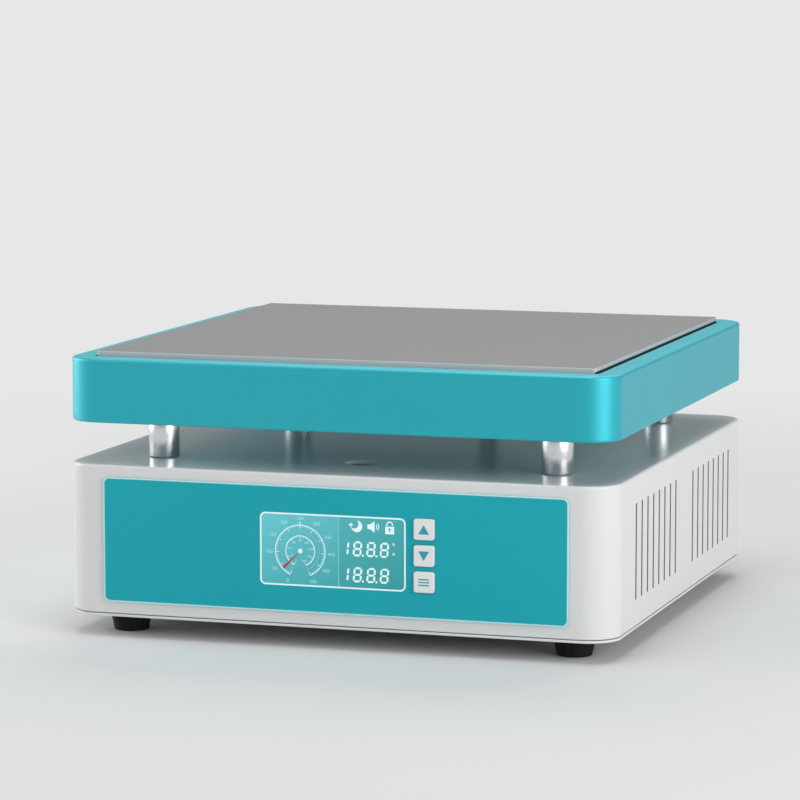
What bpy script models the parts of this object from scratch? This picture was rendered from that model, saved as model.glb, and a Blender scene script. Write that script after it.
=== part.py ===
"""Bench preheater for circuit boards: a hot plate in a painted shroud, on four posts above a control box.

Metres, +Z up, +Y to the back. The origin is on the bench, under the middle of the control box.
"""

import math

import bmesh
import bpy
from mathutils import Vector

# Gap left between two pieces that touch on the real object.
FIT = 0.0003

# Control box.
BASE_WIDTH = 0.220
BASE_DEPTH = 0.222
BASE_HEIGHT = 0.0591
CORNER_RADIUS = 0.013
SHELL_WALL = 0.0015
SHELL_TOP_FILLET = 0.0010
BOTTOM_THICKNESS = 0.0010
BOTTOM_EDGE_ROUND = 0.0003
SEAM = 0.0003
TOP_HOLE_RADIUS = 0.0068
TOP_HOLE_FROM_FRONT = 0.036

# Rubber feet and the screws that hold them and the bottom plate.
FOOT_HEIGHT = 0.0082
FOOT_TOP_RADIUS = 0.00825
FOOT_BOTTOM_RADIUS = 0.0066
FOOT_INSET = 0.0200
FOOT_SCREW_RADIUS = 0.0020
FOOT_SCREW_HEAD_RADIUS = 0.0036
FOOT_SCREW_HEAD_HEIGHT = 0.0024
FOOT_SCREW_HEAD_DEPTH = 0.0018
TAB_THICKNESS = 0.0020
TAB_WIDTH = 0.0170
WELD_NUT_RADIUS = 0.0040
WELD_NUT_HEIGHT = 0.0050

# Louvre slots in both sides of the shell.
SLOT_WIDTH = 0.0020
SLOT_HEIGHT = 0.0373
SLOT_PITCH = 0.0091
SLOTS_IN_BANK = 8
SLOT_BANK_SPACING = 0.0929
SLOT_BANKS_BEHIND_CENTRE = 0.0020
SLOT_CENTRE_HEIGHT = 0.0300

# Posts between the control box and the heater, and the bolts through them.
POST_HEIGHT = 0.0168
POST_RADIUS = 0.0060
POST_FROM_PLATE_EDGE = 0.0200
BOLT_RADIUS = 0.0025
BOLT_HEAD_RADIUS = 0.00425
BOLT_HEAD_HEIGHT = 0.0050
BOLT_SOCKET_WIDTH = 0.0040
BOLT_SOCKET_DEPTH = 0.0025
BOLT_IN_PLATE = 0.0105

# Heater: shroud, floor, insulation, clamp plate, element and hot plate.
SHROUD_HEIGHT = 0.0248
SHROUD_WALL = 0.0020
SHROUD_TOP_FILLET = 0.0012
SHROUD_LOWER_ROUND = 0.0008
SHROUD_BELOW_FLOOR = 0.0005
SHROUD_FLOOR_THICKNESS = 0.0020
PLATE_SIZE = 0.200
PLATE_THICKNESS = 0.0162
PLATE_PROUD = 0.0020
PLATE_CORNER_RADIUS = 0.0010
PLATE_EDGE_ROUND = 0.0004
RIM_GAP = 0.0010
RIM_AT_SIDE = 0.0090
RIM_AT_END = 0.0100
CLAMP_PLATE_THICKNESS = 0.0015
CLAMP_PLATE_INSET = 0.0070
COLLAR_RADIUS = 0.0050
ELEMENT_RADIUS = 0.00325
ELEMENT_FIRST_RUN = 0.0120
ELEMENT_FROM_POST = 0.0120
ELEMENT_EDGE_DISTANCE = 0.0120
ELEMENT_TAIL_BEND = 0.0050
ELEMENT_TAIL_DROP = 0.0015
ELEMENT_TAIL_FROM_REAR = 0.0030
SHROUD_SCREW_RADIUS = 0.0015
SHROUD_SCREW_HEAD_RADIUS = 0.0028
SHROUD_SCREW_HEAD_HEIGHT = 0.0014
SHROUD_SCREW_LENGTH = 0.0100
SHROUD_BOSS_RADIUS = 0.0032
SHROUD_BOSS_FROM_CORNER_CENTRE = 0.0055
PROBE_RADIUS = 0.0015
PROBE_LENGTH = 0.0450
PROBE_OUT_OF_PLATE = 0.0040

# Lead-through at the back, hidden under the shroud.
BUSH_HOLE_RADIUS = 0.0063
BUSH_FLANGE_RADIUS = 0.0080
BUSH_FLANGE_THICKNESS = 0.0012
BUSH_BORE_RADIUS = 0.0044
BUSH_FROM_REAR = 0.0120
FLOOR_LEAD_HOLE_FROM_REAR = 0.0120
FLOOR_LEAD_HOLE_RADIUS = 0.0060

# Front panel.
OVERLAY_WIDTH = 0.1860
OVERLAY_HEIGHT = 0.0485
OVERLAY_THICKNESS = 0.0006
OVERLAY_CORNER_RADIUS = 0.0024
OVERLAY_CENTRE_HEIGHT = 0.0303
DISPLAY_WIDTH = 0.0582
DISPLAY_HEIGHT = 0.0275
DISPLAY_CORNER_RADIUS = 0.0018
DISPLAY_CENTRE_HEIGHT = 0.0300
LCD_WIDTH = 0.0616
LCD_HEIGHT = 0.0340
LCD_THICKNESS = 0.0060
BUTTON_SIZE = 0.0080
BUTTON_X = 0.0370
BUTTON_PITCH = 0.01005
BUTTON_MIDDLE_HEIGHT = 0.0303
BUTTON_PROUD = 0.0012
BUTTON_EDGE_ROUND = 0.0006
BUTTON_LIP_WIDTH = 0.0100
BUTTON_LIP_THICKNESS = 0.0010
BUTTON_TRAVEL = 0.0005
STEM_RADIUS = 0.0017
KEY_SWITCH_SIZE = 0.0062
KEY_SWITCH_BORE_DEPTH = 0.0032
BOARD_THICKNESS = 0.0016
DISPLAY_BOARD_WIDTH = 0.0960
DISPLAY_BOARD_HEIGHT = 0.0420
DISPLAY_BOARD_X = 0.0070
STUD_RADIUS = 0.0025
STUD_PIN_RADIUS = 0.0013
STUD_PIN_LENGTH = 0.0036
STUD_INSET_X = 0.0035
STUD_INSET_Z = 0.0040

# Mains inlet with its fuse drawer.
INLET_X = 0.0600
INLET_HEIGHT = 0.0303
INLET_FLANGE_WIDTH = 0.0500
INLET_FLANGE_HEIGHT = 0.0340
INLET_FLANGE_THICKNESS = 0.0025
INLET_FLANGE_CORNER = 0.0030
INLET_BODY_WIDTH = 0.0280
INLET_BODY_HEIGHT = 0.0315
INLET_BODY_DEPTH = 0.0220
SOCKET_WIDTH = 0.0242
SOCKET_HEIGHT = 0.0164
SOCKET_CHAMFER = 0.0045
SOCKET_DEPTH = 0.0165
SOCKET_ABOVE_CENTRE = 0.0062
PIN_THICKNESS = 0.0020
PIN_HEIGHT = 0.0040
PIN_SPACING = 0.0070
PIN_OFFSET = 0.0020
PIN_RECESS = 0.0022
PIN_TAIL = 0.0070
DRAWER_WIDTH = 0.0160
DRAWER_HEIGHT = 0.0078
DRAWER_DEPTH = 0.0215
DRAWER_BELOW_CENTRE = 0.0092
DRAWER_FACE_THICKNESS = 0.0014
DRAWER_FACE_OVERHANG = 0.0008
DRAWER_WALL = 0.0010
FUSE_RADIUS = 0.0024
FUSE_CAP_RADIUS = 0.0026
FUSE_CAP_LENGTH = 0.0050
FUSE_LENGTH = 0.0180
INLET_SCREW_SPACING = 0.0400
INLET_SCREW_RADIUS = 0.0015
INLET_SCREW_HEAD_RADIUS = 0.0028
INLET_SCREW_HEAD_HEIGHT = 0.0013
INLET_SCREW_LENGTH = 0.0100

# Rocker switch.
SWITCH_X = 0.0180
SWITCH_HEIGHT = 0.0303
SWITCH_BEZEL_WIDTH = 0.0150
SWITCH_BEZEL_HEIGHT = 0.0210
SWITCH_BEZEL_THICKNESS = 0.0018
SWITCH_BODY_WIDTH = 0.0128
SWITCH_BODY_HEIGHT = 0.0190
SWITCH_BODY_DEPTH = 0.0200
SWITCH_WELL_WIDTH = 0.0104
SWITCH_WELL_HEIGHT = 0.0172
SWITCH_WELL_DEPTH = 0.0120
ROCKER_HALF_HEIGHT = 0.0075
ROCKER_TOP_ABOVE_PIVOT = 0.0054
ROCKER_ARC_SAG = 0.0014
ROCKER_TILT = 10.0
ROCKER_PIVOT_DEPTH = 0.0040

# Power board and what stands on it.
POWER_BOARD_WIDTH = 0.1000
POWER_BOARD_DEPTH = 0.0800
POWER_BOARD_X = -0.0350
POWER_BOARD_Y = 0.0150
PILLAR_HEIGHT = 0.0093
PILLAR_RADIUS = 0.0035
PILLAR_INSET = 0.0060
TRANSFORMER_X = -0.0640
TRANSFORMER_Y = 0.0080
TRANSFORMER_CORE = (0.0320, 0.0140, 0.0280)
TRANSFORMER_COIL = (0.0200, 0.0280, 0.0200)
TRANSFORMER_COIL_CORNER = 0.0030
HEAT_SINK_X = -0.0140
HEAT_SINK_Y = -0.0060
HEAT_SINK_LENGTH = 0.0380
HEAT_SINK_HEIGHT = 0.0300
HEAT_SINK_BACK = 0.0040
FIN_LENGTH = 0.0110
FIN_THICKNESS = 0.0016
FIN_COUNT = 9
TRIAC_WIDTH = 0.0100
TRIAC_HEIGHT = 0.0155
TRIAC_THICKNESS = 0.0045
TRIAC_LEG_WIDTH = 0.0008
TRIAC_LEG_THICKNESS = 0.0006
TERMINAL_WIDTH = 0.0500
TERMINAL_DEPTH = 0.0110
TERMINAL_HEIGHT = 0.0130
TERMINAL_X = -0.0220
TERMINAL_WAYS = 6
TERMINAL_HOLE_RADIUS = 0.0018
TERMINAL_HOLE_DEPTH = 0.0050
LEAD_RADIUS = 0.0012
LEAD_STRAIGHT = 0.0060
LEAD_OUT = 0.0120
LEAD_SAG = 0.0200
SENSOR_LEAD_ASIDE = 0.0160
CABLE_X = -0.0100
CABLE_HEIGHT = 0.0203
CABLE_RUN = 0.0080
CABLE_SLACK = 0.0140
CABLE_RISE = 0.0100
CABLE_BOARD_X = -0.0400
SWITCH_TERMINAL_OFFSET = 0.0050
EARTH_STUD_RADIUS = 0.0020
EARTH_STUD_HEIGHT = 0.0093
EARTH_STUD_FROM_INLET = 0.0330

# Levels and faces that follow from the sizes above.
BASE_LOW = FOOT_HEIGHT
BOTTOM_TOP = BASE_LOW + BOTTOM_THICKNESS
SHELL_LOW = BOTTOM_TOP + SEAM
BASE_TOP = BASE_LOW + BASE_HEIGHT
SHELL_CEILING = BASE_TOP - SHELL_WALL
FLOOR_LOW = BASE_TOP + POST_HEIGHT
FLOOR_TOP = FLOOR_LOW + SHROUD_FLOOR_THICKNESS
SHROUD_LOW = FLOOR_LOW - SHROUD_BELOW_FLOOR
SHROUD_TOP = SHROUD_LOW + SHROUD_HEIGHT
PLATE_TOP = SHROUD_TOP + PLATE_PROUD
PLATE_LOW = PLATE_TOP - PLATE_THICKNESS
CLAMP_TOP = PLATE_LOW - FIT
CLAMP_LOW = CLAMP_TOP - CLAMP_PLATE_THICKNESS
FRONT = -BASE_DEPTH / 2
REAR = BASE_DEPTH / 2
SIDE = BASE_WIDTH / 2
FRONT_INNER = FRONT + SHELL_WALL
OVERLAY_FACE = FRONT - FIT - OVERLAY_THICKNESS
LCD_FRONT = FRONT_INNER + FIT
LCD_REAR = LCD_FRONT + LCD_THICKNESS
DISPLAY_BOARD_FRONT = LCD_REAR + FIT
HEATER_SIDE = PLATE_SIZE / 2 + RIM_GAP + RIM_AT_SIDE
HEATER_REAR = PLATE_SIZE / 2 + RIM_GAP + RIM_AT_END
POST_OUT = PLATE_SIZE / 2 - POST_FROM_PLATE_EDGE
ELEMENT_TURN_RADIUS = (POST_OUT - ELEMENT_FROM_POST - ELEMENT_FIRST_RUN) / 4
PROBE_X = ELEMENT_FIRST_RUN + ELEMENT_TURN_RADIUS
FOOT_X = SIDE - FOOT_INSET
FOOT_Y = REAR - FOOT_INSET
BUSH_Y = REAR - BUSH_FROM_REAR
FLOOR_HOLE_Y = HEATER_REAR - FLOOR_LEAD_HOLE_FROM_REAR
POWER_BOARD_LOW = BOTTOM_TOP + PILLAR_HEIGHT + FIT
POWER_BOARD_TOP = POWER_BOARD_LOW + BOARD_THICKNESS
INLET_Z = BASE_LOW + INLET_HEIGHT
SWITCH_Z = BASE_LOW + SWITCH_HEIGHT
FLANGE_REAR = REAR + FIT + INLET_FLANGE_THICKNESS
EARTH_STUD_Y = REAR - INLET_BODY_DEPTH - EARTH_STUD_FROM_INLET
BOLT_HOLE_RADIUS = BOLT_RADIUS + FIT
CORNERS = [(-1, -1, "front_left"), (1, -1, "front_right"), (-1, 1, "rear_left"), (1, 1, "rear_right")]

# Facets in a full turn, for large and small round pieces and for screws.
ROUND = 20
SMALL_ROUND = 16
SCREW_ROUND = 12


def clear_scene():
    """Removes the start-up objects."""
    for old in list(bpy.data.objects):
        bpy.data.objects.remove(old)


def new_collection(name):
    made = bpy.data.collections.new(name)
    bpy.context.scene.collection.children.link(made)
    return made


def linear(channel):
    """One sRGB channel, 0 to 1, as a linear value."""
    return channel / 12.92 if channel <= 0.04045 else ((channel + 0.055) / 1.055) ** 2.4


def material(name, colour, roughness, metallic=0.0, alpha=1.0):
    """A Principled material. The colour is an sRGB hex value, as in 0x2AA4B1."""
    made = bpy.data.materials.new(name)
    made.use_nodes = True
    shader = made.node_tree.nodes["Principled BSDF"]
    rgb = [linear((colour >> shift & 255) / 255) for shift in (16, 8, 0)]
    shader.inputs["Base Color"].default_value = (*rgb, 1.0)
    shader.inputs["Roughness"].default_value = roughness
    shader.inputs["Metallic"].default_value = metallic
    shader.inputs["Alpha"].default_value = alpha
    return made


def link(name, data, where, finish=None):
    """Puts mesh or curve data in the scene as an object of that name."""
    made = bpy.data.objects.new(name, data)
    if finish is None:
        CUTTERS.objects.link(made)
        made.hide_render = True
        made.display_type = "WIRE"
    else:
        PARTS.objects.link(made)
        data.materials.append(finish)
    made.location = where
    return made


def smooth(mesh):
    """Round faces shade smooth, edges over 35 degrees stay sharp."""
    mesh.shade_smooth()
    mesh.set_sharp_from_angle(angle=math.radians(35))


def box(name, size, where, finish=None, corner=0.0, axis="Z", segments=5):
    """A box, its four edges along the axis rounded to the corner radius. No finish makes it a cutter."""
    bm = bmesh.new()
    bmesh.ops.create_cube(bm, size=1.0)
    bmesh.ops.scale(bm, vec=size, verts=bm.verts)
    if corner:
        along = Vector([float(letter == axis) for letter in "XYZ"])
        edges = [e for e in bm.edges if abs((e.verts[0].co - e.verts[1].co).normalized().dot(along)) > 0.99]
        bmesh.ops.bevel(bm, geom=edges, offset=corner, segments=segments, profile=0.5, affect="EDGES")
    mesh = bpy.data.meshes.new(name)
    bm.to_mesh(mesh)
    bm.free()
    smooth(mesh)
    return link(name, mesh, where, finish)


def cylinder(name, radius, length, where, finish=None, axis="Z", top_radius=None, sides=SMALL_ROUND):
    """A cylinder or cone along the axis, centred on where. The top radius is at the high end of the axis."""
    bm = bmesh.new()
    upper = radius if top_radius is None else top_radius
    bmesh.ops.create_cone(bm, cap_ends=True, segments=sides, radius1=radius, radius2=upper, depth=length)
    mesh = bpy.data.meshes.new(name)
    bm.to_mesh(mesh)
    bm.free()
    smooth(mesh)
    made = link(name, mesh, where, finish)
    turns = {"X": (0, math.pi / 2, 0), "Y": (-math.pi / 2, 0, 0), "Z": (0, 0, 0)}
    made.rotation_euler = turns[axis]
    return made


def turned(name, profile, where, finish=None, sides=ROUND, closed=True):
    """A turned piece. The profile lists (radius, height) down the outer side. Closed joins its two ends."""
    count = len(profile)
    edges = [(i, i + 1) for i in range(count - 1)] + ([(count - 1, 0)] if closed else [])
    mesh = bpy.data.meshes.new(name)
    mesh.from_pydata([(radius, 0.0, height) for radius, height in profile], edges, [])
    made = link(name, mesh, where, finish)
    screw = made.modifiers.new("turn", "SCREW")
    screw.angle = math.tau
    screw.steps = screw.render_steps = sides
    screw.use_merge_vertices = True
    screw.merge_threshold = 0.00001
    screw.use_smooth_shade = True
    return made


def soften(part, width, segments=2):
    """Rounds every edge that is sharper than 40 degrees."""
    bevel = part.modifiers.new("edge round", "BEVEL")
    bevel.width = width
    bevel.segments = segments
    bevel.limit_method = "ANGLE"
    bevel.angle_limit = math.radians(40)


def boolean(part, other, operation):
    modifier = part.modifiers.new(operation.lower() + " " + other.name, "BOOLEAN")
    modifier.operation = operation
    modifier.solver = "EXACT"
    modifier.object = other


def cut(part, *cutters):
    for cutter in cutters:
        boolean(part, cutter, "DIFFERENCE")


def join(part, *others):
    for other in others:
        boolean(part, other, "UNION")


def drill(part, radius, length, where, axis="Z", sides=SMALL_ROUND, top_radius=None):
    """Cuts a round hole in the part. The drill's middle is at where."""
    name = f"drill_{part.name}_{len(part.modifiers)}"
    cut(part, cylinder(name, radius, length, where, axis=axis, sides=sides, top_radius=top_radius))


def add_boss(part, radius, low, high, where, axis="Z", sides=SMALL_ROUND):
    """Joins a round boss to the part, from low to high along the axis through where."""
    centre = Vector(where)
    centre["XYZ".index(axis)] = (low + high) / 2
    name = f"boss_{part.name}_{len(part.modifiers)}"
    join(part, cylinder(name, radius, high - low, centre, axis=axis, sides=sides))


def open_shell(name, size, where, wall, fillet, finish, lower_round=0.0):
    """A box open underneath, with round upright corners, a fillet round its top and an inward wall."""
    shell = box(name, size, where, finish, corner=CORNER_RADIUS, segments=7)
    round_ends(shell, fillet, lower_round)
    cavity_size = (size[0] - 2 * wall, size[1] - 2 * wall, size[2])
    cavity_at = (where[0], where[1], where[2] - wall)
    cut(shell, box(f"cut_cavity_{name}", cavity_size, cavity_at, corner=CORNER_RADIUS - wall, segments=7))
    return shell


def round_ends(part, upper, lower):
    """Rounds the edges round the part's top and, where lower isn't 0, round its underside."""
    bm = bmesh.new()
    bm.from_mesh(part.data)
    for radius, facing, segments in ((upper, 1, 3), (lower, -1, 2)):
        if radius:
            ends = [f for f in bm.faces if f.normal.z * facing > 0.9]
            edges = list({edge for face in ends for edge in face.edges})
            bmesh.ops.bevel(bm, geom=edges, offset=radius, segments=segments, profile=0.5, affect="EDGES")
    bm.to_mesh(part.data)
    bm.free()
    smooth(part.data)


def curve_of(name, points, where, finish, cyclic=False):
    curve = bpy.data.curves.new(name, "CURVE")
    curve.dimensions = "3D"
    spline = curve.splines.new("POLY")
    spline.points.add(len(points) - 1)
    for slot, point in zip(spline.points, points):
        slot.co = (*point, 1.0)
    spline.use_cyclic_u = cyclic
    return link(name, curve, where, finish)


def tube(name, points, radius, finish, resolution=2):
    """A round tube along the points, with closed ends."""
    made = curve_of(name, points, (0, 0, 0), finish)
    made.data.bevel_depth = radius
    made.data.bevel_resolution = resolution
    made.data.use_fill_caps = True
    return made


def as_mesh(made):
    """Turns a curve object into a mesh object with welded caps, so that a Boolean can use it."""
    bpy.context.view_layer.update()
    graph = bpy.context.evaluated_depsgraph_get()
    mesh = bpy.data.meshes.new_from_object(made.evaluated_get(graph))
    bm = bmesh.new()
    bm.from_mesh(mesh)
    bmesh.ops.remove_doubles(bm, verts=bm.verts, dist=0.000002)
    bmesh.ops.recalc_face_normals(bm, faces=bm.faces)
    bm.to_mesh(mesh)
    bm.free()
    name, matrix, home = made.name, made.matrix_world.copy(), made.users_collection[0]
    hidden = made.hide_render
    bpy.data.objects.remove(made)
    solid = bpy.data.objects.new(name, mesh)
    home.objects.link(solid)
    solid.matrix_world = matrix
    solid.hide_render = hidden
    if hidden:
        solid.display_type = "WIRE"
    return solid


def outline(name, points, thickness, where, finish=None):
    """A flat outline in its own XY plane, given a thickness along its own Z."""
    made = curve_of(name, [(*p, 0.0) for p in points], where, finish, cyclic=True)
    made.data.dimensions = "2D"
    made.data.fill_mode = "BOTH"
    made.data.extrude = thickness / 2
    return made


def arc(centre, radius, start, end, steps):
    """Points round a centre from one angle to another, in degrees."""
    angles = [math.radians(start + (end - start) * i / steps) for i in range(steps + 1)]
    return [(centre[0] + radius * math.cos(a), centre[1] + radius * math.sin(a)) for a in angles]


def smooth_route(knots, steps=3):
    """Points on a smooth curve through the knots. Each end points straight at the next knot."""
    points = [Vector(knot) for knot in knots]
    spans = [(after - before).length for before, after in zip(points, points[1:])]
    slopes = [(after - before) / span for before, after, span in zip(points, points[1:], spans)]
    bends = []
    for slope_in, slope_out, span_in, span_out in zip(slopes, slopes[1:], spans, spans[1:]):
        bends.append((slope_in * span_out + slope_out * span_in) / (span_in + span_out))
    tangents = [slopes[0], *bends, slopes[-1]]
    route = []
    for i, span in enumerate(spans):
        for step in range(steps):
            t = step / steps
            start = points[i] * (2 * t**3 - 3 * t**2 + 1) + tangents[i] * span * (t**3 - 2 * t**2 + t)
            end = points[i + 1] * (3 * t**2 - 2 * t**3) + tangents[i + 1] * span * (t**3 - t**2)
            route.append(tuple(start + end))
    return route + [tuple(points[-1])]


def cross_recess(part, where, width, depth, axis):
    """A cross-head drive, cut where the head's outer face is."""
    bars = {"Z": [(width, width / 5, 2 * depth), (width / 5, width, 2 * depth)]}
    bars["Y"] = [(x, 2 * depth, y) for x, y, _ in bars["Z"]]
    for number, size in enumerate(bars[axis]):
        cut(part, box(f"cut_cross_{part.name}_{number}", size, where))


def base_shell():
    """White powder-coated sheet-steel cover: top and four sides."""
    height = BASE_TOP - SHELL_LOW
    size = (BASE_WIDTH, BASE_DEPTH, height)
    centre = (0, 0, SHELL_LOW + height / 2)
    shell = open_shell("base_shell", size, centre, SHELL_WALL, SHELL_TOP_FILLET, WHITE)
    through = 4 * SHELL_WALL
    for side, back, corner in CORNERS:
        add_foot_tab(shell, side, back, corner)
        drill(shell, BOLT_HOLE_RADIUS, through, (side * POST_OUT, back * POST_OUT, BASE_TOP))
    add_display_studs(shell)
    cut(shell, *slot_cutters())
    drill(shell, TOP_HOLE_RADIUS, through, (0, FRONT + TOP_HOLE_FROM_FRONT, BASE_TOP), sides=ROUND)
    drill(shell, BUSH_HOLE_RADIUS, through, (0, BUSH_Y, BASE_TOP), sides=ROUND)
    cut(shell, front_window("cut_shell_window", through))
    for key in BUTTONS:
        cut(shell, button_window(f"cut_shell_{key}", key, through))
    inlet_hole = (INLET_BODY_WIDTH + 2 * FIT, through, INLET_BODY_HEIGHT + 2 * FIT)
    cut(shell, box("cut_inlet_hole", inlet_hole, (INLET_X, REAR, INLET_Z)))
    switch_hole = (SWITCH_BODY_WIDTH + 2 * FIT, through, SWITCH_BODY_HEIGHT + 2 * FIT)
    cut(shell, box("cut_switch_hole", switch_hole, (SWITCH_X, REAR, SWITCH_Z)))
    for side in (-1, 1):
        screw_at = (inlet_screw_x(side), REAR, INLET_Z)
        drill(shell, INLET_SCREW_RADIUS + FIT, through, screw_at, axis="Y", sides=8)
    return shell


def inlet_screw_x(side):
    return INLET_X + side * INLET_SCREW_SPACING / 2


def add_foot_tab(shell, side, back, corner):
    """A tab welded to the side wall, with a weld nut that takes the foot screw."""
    inner = FOOT_X - TAB_WIDTH / 2
    outer = SIDE - SHELL_WALL / 2
    tab_size = (outer - inner, TAB_WIDTH, TAB_THICKNESS)
    tab_at = (side * (inner + outer) / 2, back * FOOT_Y, SHELL_LOW + TAB_THICKNESS / 2)
    join(shell, box(f"tab_{corner}", tab_size, tab_at))
    nut_at = (side * FOOT_X, back * FOOT_Y, SHELL_LOW)
    nut_top = SHELL_LOW + TAB_THICKNESS + WELD_NUT_HEIGHT
    add_boss(shell, WELD_NUT_RADIUS, SHELL_LOW + TAB_THICKNESS / 2, nut_top, nut_at, sides=6)
    drill(shell, FOOT_SCREW_RADIUS + FIT, 4 * (TAB_THICKNESS + WELD_NUT_HEIGHT), nut_at, sides=8)


def corner_places(middle_x, middle_y, across, along):
    """The four corners of a rectangle given by its middle and its two half sizes."""
    return [(middle_x + i * across, middle_y + j * along) for i in (-1, 1) for j in (-1, 1)]


def stud_places():
    """Centres of the four studs that carry the display board, as (x, z)."""
    across = DISPLAY_BOARD_WIDTH / 2 - STUD_INSET_X
    up = DISPLAY_BOARD_HEIGHT / 2 - STUD_INSET_Z
    return corner_places(DISPLAY_BOARD_X, BASE_LOW + DISPLAY_CENTRE_HEIGHT, across, up)


def add_display_studs(shell):
    """Shouldered studs behind the front wall. Their pins pass through the display board."""
    root = FRONT_INNER - SHELL_WALL / 2
    shoulder = DISPLAY_BOARD_FRONT - FIT
    pin_end = DISPLAY_BOARD_FRONT + STUD_PIN_LENGTH
    for x, z in stud_places():
        add_boss(shell, STUD_RADIUS, root, shoulder, (x, 0, z), axis="Y", sides=8)
        add_boss(shell, STUD_PIN_RADIUS, shoulder - STUD_RADIUS / 2, pin_end, (x, 0, z), axis="Y", sides=6)


def slot_cutters():
    """Two banks of upright louvre slots, cut through both side walls at once."""
    cutters = []
    for bank in (-1, 1):
        for number in range(SLOTS_IN_BANK):
            along = (number - (SLOTS_IN_BANK - 1) / 2) * SLOT_PITCH
            y = SLOT_BANKS_BEHIND_CENTRE + bank * SLOT_BANK_SPACING / 2 + along
            for side in (-1, 1):
                size = (6 * SHELL_WALL, SLOT_WIDTH, SLOT_HEIGHT)
                where = (side * SIDE, y, BASE_LOW + SLOT_CENTRE_HEIGHT)
                name = f"cut_slot_{bank + 1}_{number}_{side + 1}"
                cutters.append(box(name, size, where, corner=SLOT_WIDTH / 3, axis="X", segments=1))
    return cutters


def bottom_plate():
    """White steel plate that closes the box, with the pillars of the power board and the earth stud."""
    size = (BASE_WIDTH, BASE_DEPTH, BOTTOM_THICKNESS)
    middle = BASE_LOW + BOTTOM_THICKNESS / 2
    plate = box("bottom_plate", size, (0, 0, middle), WHITE, corner=CORNER_RADIUS, segments=7)
    soften(plate, BOTTOM_EDGE_ROUND, segments=1)
    seat = POWER_BOARD_LOW - FIT
    pin_top = POWER_BOARD_TOP + STUD_PIN_RADIUS
    for x, y in pillar_places():
        add_boss(plate, PILLAR_RADIUS, middle, seat, (x, y, 0), sides=8)
        add_boss(plate, STUD_PIN_RADIUS, seat - PILLAR_RADIUS, pin_top, (x, y, 0), sides=6)
    earth_at = (INLET_X, EARTH_STUD_Y, 0)
    add_boss(plate, EARTH_STUD_RADIUS, middle, BOTTOM_TOP + EARTH_STUD_HEIGHT, earth_at, sides=8)
    for side, back, _ in CORNERS:
        foot_hole = FOOT_SCREW_RADIUS + FIT
        drill(plate, foot_hole, 4 * BOTTOM_THICKNESS, (side * FOOT_X, back * FOOT_Y, middle), sides=8)
    return plate


def pillar_places():
    """Centres of the four pillars under the power board, as (x, y)."""
    across = POWER_BOARD_WIDTH / 2 - PILLAR_INSET
    along = POWER_BOARD_DEPTH / 2 - PILLAR_INSET
    return corner_places(POWER_BOARD_X, POWER_BOARD_Y, across, along)


def feet():
    """Tapered rubber feet, each held by a pan-head screw in its own counterbore."""
    shoulder = FOOT_SCREW_HEAD_DEPTH + FOOT_SCREW_HEAD_HEIGHT + FIT
    well = FOOT_SCREW_HEAD_RADIUS + 2 * FIT
    bore = FOOT_SCREW_RADIUS + FIT
    top = FOOT_HEIGHT - FIT
    foot_profile = [
        (bore, top),
        (FOOT_TOP_RADIUS, top),
        (FOOT_BOTTOM_RADIUS + FIT, 2 * FIT),
        (FOOT_BOTTOM_RADIUS - FIT, 0.0),
        (well, 0.0),
        (well, shoulder),
        (bore, shoulder),
    ]
    head_low = FOOT_SCREW_HEAD_DEPTH
    head_top = shoulder - FIT
    end = SHELL_LOW + TAB_THICKNESS + WELD_NUT_HEIGHT
    screw_profile = [
        (0.0, end),
        (FOOT_SCREW_RADIUS, end),
        (FOOT_SCREW_RADIUS, head_top),
        (FOOT_SCREW_HEAD_RADIUS, head_top),
        (FOOT_SCREW_HEAD_RADIUS, head_low + FOOT_SCREW_HEAD_HEIGHT / 3),
        (FOOT_SCREW_HEAD_RADIUS * 0.75, head_low),
        (0.0, head_low),
    ]
    for side, back, corner in CORNERS:
        where = (side * FOOT_X, back * FOOT_Y, 0)
        turned(f"foot_{corner}", foot_profile, where, RUBBER, sides=SMALL_ROUND)
        screw = turned(f"foot_screw_{corner}", screw_profile, where, STEEL, sides=SCREW_ROUND, closed=False)
        drive_at = (where[0], where[1], head_low)
        cross_recess(screw, drive_at, FOOT_SCREW_HEAD_RADIUS, FOOT_SCREW_HEAD_HEIGHT / 2, "Z")


def posts():
    """Polished tubes that carry the heater, each clamped by a socket-head bolt from inside the box."""
    low = BASE_TOP + FIT
    high = FLOOR_LOW - FIT
    edge = FIT
    post_profile = [
        (BOLT_HOLE_RADIUS, high),
        (POST_RADIUS - edge, high),
        (POST_RADIUS, high - edge),
        (POST_RADIUS, low + edge),
        (POST_RADIUS - edge, low),
        (BOLT_HOLE_RADIUS, low),
    ]
    head_top = SHELL_CEILING - FIT
    head_low = head_top - BOLT_HEAD_HEIGHT
    end = PLATE_LOW + BOLT_IN_PLATE
    bolt_profile = [
        (0.0, end),
        (BOLT_RADIUS - 2 * FIT, end),
        (BOLT_RADIUS, end - 2 * FIT),
        (BOLT_RADIUS, head_top),
        (BOLT_HEAD_RADIUS, head_top),
        (BOLT_HEAD_RADIUS, head_low + FIT),
        (BOLT_HEAD_RADIUS - FIT, head_low),
        (0.0, head_low),
    ]
    socket_radius = BOLT_SOCKET_WIDTH / math.sqrt(3)
    for side, back, corner in CORNERS:
        where = (side * POST_OUT, back * POST_OUT, 0)
        turned(f"post_{corner}", post_profile, where, CHROME)
        bolt = turned(f"post_bolt_{corner}", bolt_profile, where, STEEL, sides=SCREW_ROUND, closed=False)
        drill(bolt, socket_radius, 2 * BOLT_SOCKET_DEPTH, (where[0], where[1], head_low), sides=6)


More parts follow.
